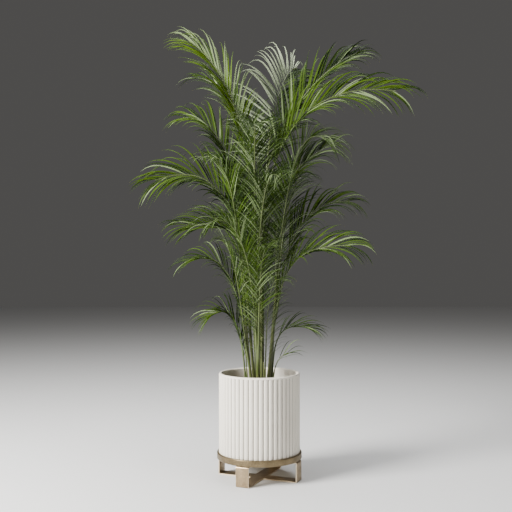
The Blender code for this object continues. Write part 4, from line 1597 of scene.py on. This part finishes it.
def grown_fronds() -> list[Frond]:
    """The thirty-one fronds, each from its cane or straight from the compost.

    A row gives the name, holder, azimuth, leaving height, bow, tip, leaf length, bare share, twist,
    open angle, size and tints, and then how the upper and the lower row are held, where not evenly.

    Returns:
        The fronds, in the order in which chance is dealt to them.
    """
    rows = [
        ("left_1", (-0.058, -0.008), 188, GROUND, (0.05, 0.79), (0.168, 0.69), 0.15, 0.46, -60, 38, 1.15,
         Spray.FRESH, Habit.FEATHERED, Habit.FEATHERED),
        ("left_2", (-0.052, 0.014), 176, GROUND, (0.06, 1.03), (0.275, 0.93), 0.17, 0.46, -50, 38, 0.75,
         Spray.FRESH, Habit.FEATHERED, Habit.FEATHERED),
        ("left_3", "middle_front", 192, 0.80, (0.03, 1.12), (0.30, 1.085), 0.21, 0.28, -80, 36, 1.0,
         Spray.FRESH, Habit.SLEEK, Habit.LEVEL),
        ("left_4", "left_back", 186, 0.86, (0.10, 1.39), (0.385, 1.285), 0.24, 0.30, -85, 40, 1.0,
         Spray.FRESH, Habit.NARROWING, Habit.SKIRTING),
        ("left_5", "left_back", 165, 0.92, (0.09, 1.58), (0.29, 1.575), 0.20, 0.38, -80, 20, 1.0,
         Spray.FRESH, Habit.UPRIGHT),
        ("left_6", "middle_front", 172, 1.02, (0.085, 1.75), (0.29, 1.89), 0.23, 0.34, -100, 26, 1.0,
         Spray.BRIGHT, Habit.WIDE, Habit.CLOSE),
        ("left_7", "left_front", 238, 0.70, (0.08, 1.36), (0.23, 1.34), 0.23, 0.40, -20, 44, 1.0,
         Spray.FRESH, Habit.LOW, Habit.LOW),
        ("left_8", "left_front", 225, 0.56, (0.07, 1.03), (0.18, 1.03), 0.17, 0.38, -50, 44, 0.8,
         Spray.FRESH, Habit.LOW, Habit.LOW),
        ("right_1", (0.054, -0.022), 350, GROUND, (0.006, 0.515), (0.07, 0.542), 0.12, 0.70, 90, 28, 1.0,
         Spray.FRESH),
        ("right_2", (0.052, -0.004), 350, GROUND, (0.00, 0.69), (0.18, 0.645), 0.14, 0.56, 50, 30, 1.1,
         Spray.FRESH, Habit.SLEEK),
        ("right_3", "right_front", 345, 0.74, (0.07, 1.01), (0.32, 1.00), 0.22, 0.26, 80, 42, 1.0,
         Spray.FRESH, Habit.SLEEK, Habit.DRAPED),
        ("right_4", "right_back", 12, 0.62, (0.10, 1.21), (0.345, 1.20), 0.22, 0.50, 60, 32, 1.0,
         Spray.FRESH, Habit.SLEEK, Habit.HANGING),
        ("right_5", "right_front", 62, 0.80, (0.09, 1.28), (0.24, 1.33), 0.20, 0.38, 40, 40, 1.0,
         Spray.GREEN, Habit.LOW, Habit.LOW),
        ("right_6", "middle_back", 20, 0.965, (0.12, 1.36), (0.345, 1.47), 0.22, 0.34, 50, 34, 1.0,
         Spray.FRESH, Habit.EVEN, Habit.HANGING),
        ("right_7", "right_front", 315, 0.86, (0.12, 1.58), (0.30, 1.40), 0.22, 0.40, 0, 44, 1.0,
         Spray.FRESH, Habit.LOW, Habit.LOW),
        ("right_8", "middle_back", 352, 1.10, (0.18, 1.725), (0.565, 1.655), 0.25, 0.28, 90, 42, 1.0,
         Spray.FRESH, Habit.STREAMING, Habit.TRAILING),
        ("right_9", "middle_back", 20, 1.16, (0.275, 1.80), (0.48, 1.89), 0.25, 0.32, 75, 28, 1.0,
         Spray.FRESH, Habit.CREST, Habit.BOUND),
        ("right_10", "middle_back", 55, 1.075, (0.15, 1.82), (0.32, 1.84), 0.28, 0.34, 70, 60, 1.0,
         Spray.FRESH, Habit.FAN, Habit.SHADED),
        ("front_1", "middle_front", 268, 0.94, (0.10, 1.56), (0.34, 1.46), 0.23, 0.34, -14, 44, 1.0,
         Spray.GREEN, Habit.LOOSE, Habit.LOOSE),
        ("front_2", "front", 284, 0.69, (0.10, 1.36), (0.32, 1.26), 0.22, 0.42, 18, 44, 1.0,
         Spray.GREEN, Habit.LOOSE, Habit.LOOSE),
        ("front_3", "front", 232, 0.60, (0.10, 1.18), (0.30, 1.08), 0.21, 0.38, -28, 44, 1.0,
         Spray.FRESH, Habit.LOOSE, Habit.LOOSE),
        ("front_4", "front", 288, 0.54, (0.06, 1.02), (0.22, 0.99), 0.16, 0.36, 16, 40, 1.0,
         Spray.FRESH, Habit.LOOSE, Habit.LOOSE),
        ("front_5", (0.024, -0.046), 290, GROUND, (0.03, 0.88), (0.17, 0.86), 0.16, 0.46, -12, 44, 0.8,
         Spray.FRESH, Habit.LOOSE, Habit.LOOSE),
        ("back_1", "back", 92, 0.78, (0.12, 1.44), (0.42, 1.32), 0.23, 0.36, 16, 44, 1.0, Spray.DEEP),
        ("back_2", "back", 124, 0.70, (0.10, 1.22), (0.38, 1.12), 0.22, 0.36, -34, 44, 1.0, Spray.GREEN),
        ("back_3", "back", 78, 0.635, (0.10, 1.10), (0.34, 1.00), 0.16, 0.36, 26, 40, 1.0, Spray.GREEN),
        ("back_4", "left_back", 120, 0.80, (0.14, 1.44), (0.37, 1.42), 0.24, 0.36, 36, 44, 1.0, Spray.GREEN),
        ("back_5", "right_back", 84, 0.56, (0.12, 1.14), (0.37, 1.12), 0.16, 0.40, -36, 42, 1.0, Spray.GREEN),
        ("back_6", "middle_back", 104, 1.00, (0.14, 1.70), (0.40, 1.68), 0.24, 0.36, 14, 44, 1.0, Spray.DEEP),
        ("back_7", "middle_back", 142, 1.08, (0.12, 1.74), (0.36, 1.78), 0.24, 0.36, -36, 44, 1.0,
         Spray.GREEN, Habit.SPARSE, Habit.SPARSE),
        ("back_8", (-0.018, 0.066), 104, GROUND, (0.06, 0.84), (0.26, 0.82), 0.16, 0.46, 16, 44, 0.8,
         Spray.DEEP),
    ]
    return [Frond(*row) for row in rows]


@dataclass(frozen=True)
class Lamp:
    """A square soft light: where it hangs, what it faces, its side, its watts and its colour."""

    name: str
    place: Place
    aim: Place
    side: float
    power: float
    tone: Colour

    def hang(self) -> None:
        """Puts the light in its place, turned to its aim."""
        lamp = bpy.data.lights.new(self.name, "AREA")
        lamp.shape = "SQUARE"
        lamp.size = self.side
        lamp.energy = self.power
        lamp.color = self.tone
        made = bpy.data.objects.new(self.name, lamp)
        bpy.context.scene.collection.objects.link(made)
        made.location = self.place
        made.rotation_euler = (Vector(self.aim) - Vector(self.place)).to_track_quat("-Z", "Y").to_euler()


@dataclass
class Studio:
    """A pale floor, soft lights and a level camera at the photograph's angle.

    The lens and the sensor are in millimetres, and the world is a dim, even sky.
    """

    camera_place: Place = (-0.0147, -3.58, 0.957)
    lens: float = 58.17
    sensor: float = 36.0
    floor_size: float = 24.0
    floor_tone: Colour = (0.72, 0.72, 0.72)
    floor_roughness: float = 0.8
    world: Colour = (0.82, 0.80, 0.775)
    world_strength: float = 0.10
    lamps: tuple[Lamp, ...] = (
        Lamp("key", (-3.0, -1.9, 2.3), (0.0, 0.0, 1.0), 1.5, 550, (1.0, 0.985, 0.95)),
        Lamp("top", (0.2, 0.3, 4.0), (0.0, 0.0, 1.0), 2.6, 170, (1.0, 1.0, 1.0)),
        Lamp("crown", (1.8, -1.7, 3.6), (0.0, 0.0, 1.7), 1.4, 18, (1.0, 1.0, 0.98)),
    )

    def floor(self) -> None:
        """The plain pale floor, which isn't part of the palm."""
        half = self.floor_size / 2
        mesh = bpy.data.meshes.new("studio_floor")
        corners = [(-half, -half, 0), (half, -half, 0), (half, half, 0), (-half, half, 0)]
        mesh.from_pydata(corners, [], [(0, 1, 2, 3)])
        material = bpy.data.materials.new("studio_floor")
        material.use_nodes = True
        shader = material.node_tree.nodes["Principled BSDF"]
        shader.inputs["Base Color"].default_value = (*self.floor_tone, 1.0)
        shader.inputs["Roughness"].default_value = self.floor_roughness
        mesh.materials.append(material)
        made = bpy.data.objects.new("studio_floor", mesh)
        bpy.context.scene.collection.objects.link(made)

    def dress(self) -> None:
        """Sets up the world, lights, floor and camera."""
        scene = bpy.context.scene
        world = bpy.data.worlds.new("studio")
        world.use_nodes = True
        sky = world.node_tree.nodes["Background"]
        sky.inputs["Color"].default_value = (*self.world, 1.0)
        sky.inputs["Strength"].default_value = self.world_strength
        scene.world = world
        for lamp in self.lamps:
            lamp.hang()
        self.floor()
        lens = bpy.data.cameras.new("view")
        lens.lens = self.lens
        lens.sensor_width = self.sensor
        camera = bpy.data.objects.new("view", lens)
        camera.location = self.camera_place
        camera.rotation_euler = (math.pi / 2, 0.0, 0.0)
        scene.collection.objects.link(camera)
        scene.camera = camera


def main() -> None:
    """Builds the planter, its filling, the stand and the palm, and sets up the studio."""
    logging.basicConfig(level=logging.INFO, format="%(name)s: %(message)s")
    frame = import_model()
    LOG.info("%d nodes in the frame", len(frame["nodes"]))
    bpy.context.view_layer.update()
    pot_low, pot_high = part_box("planter")
    soil_low, soil_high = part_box("compost")
    _, ring_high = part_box("stand_ring")
    _, loop_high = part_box("stand_loop")
    Planter(radius=PLANTER_RADIUS, base=pot_low.z, rim=pot_high.z).dress()
    LOG.info("planter")
    Soil(radius=soil_high.x, bottom=soil_low.z, top=soil_high.z).dress()
    LOG.info("potting mix")
    Stand(reach=ring_high.x, height=loop_high.z, ring_high=ring_high.z).dress()
    LOG.info("stand")
    Clump(grown_canes(), cut_stubs(), grown_fronds()).dress()
    Studio().dress()


if __name__ == "__main__":
    main()
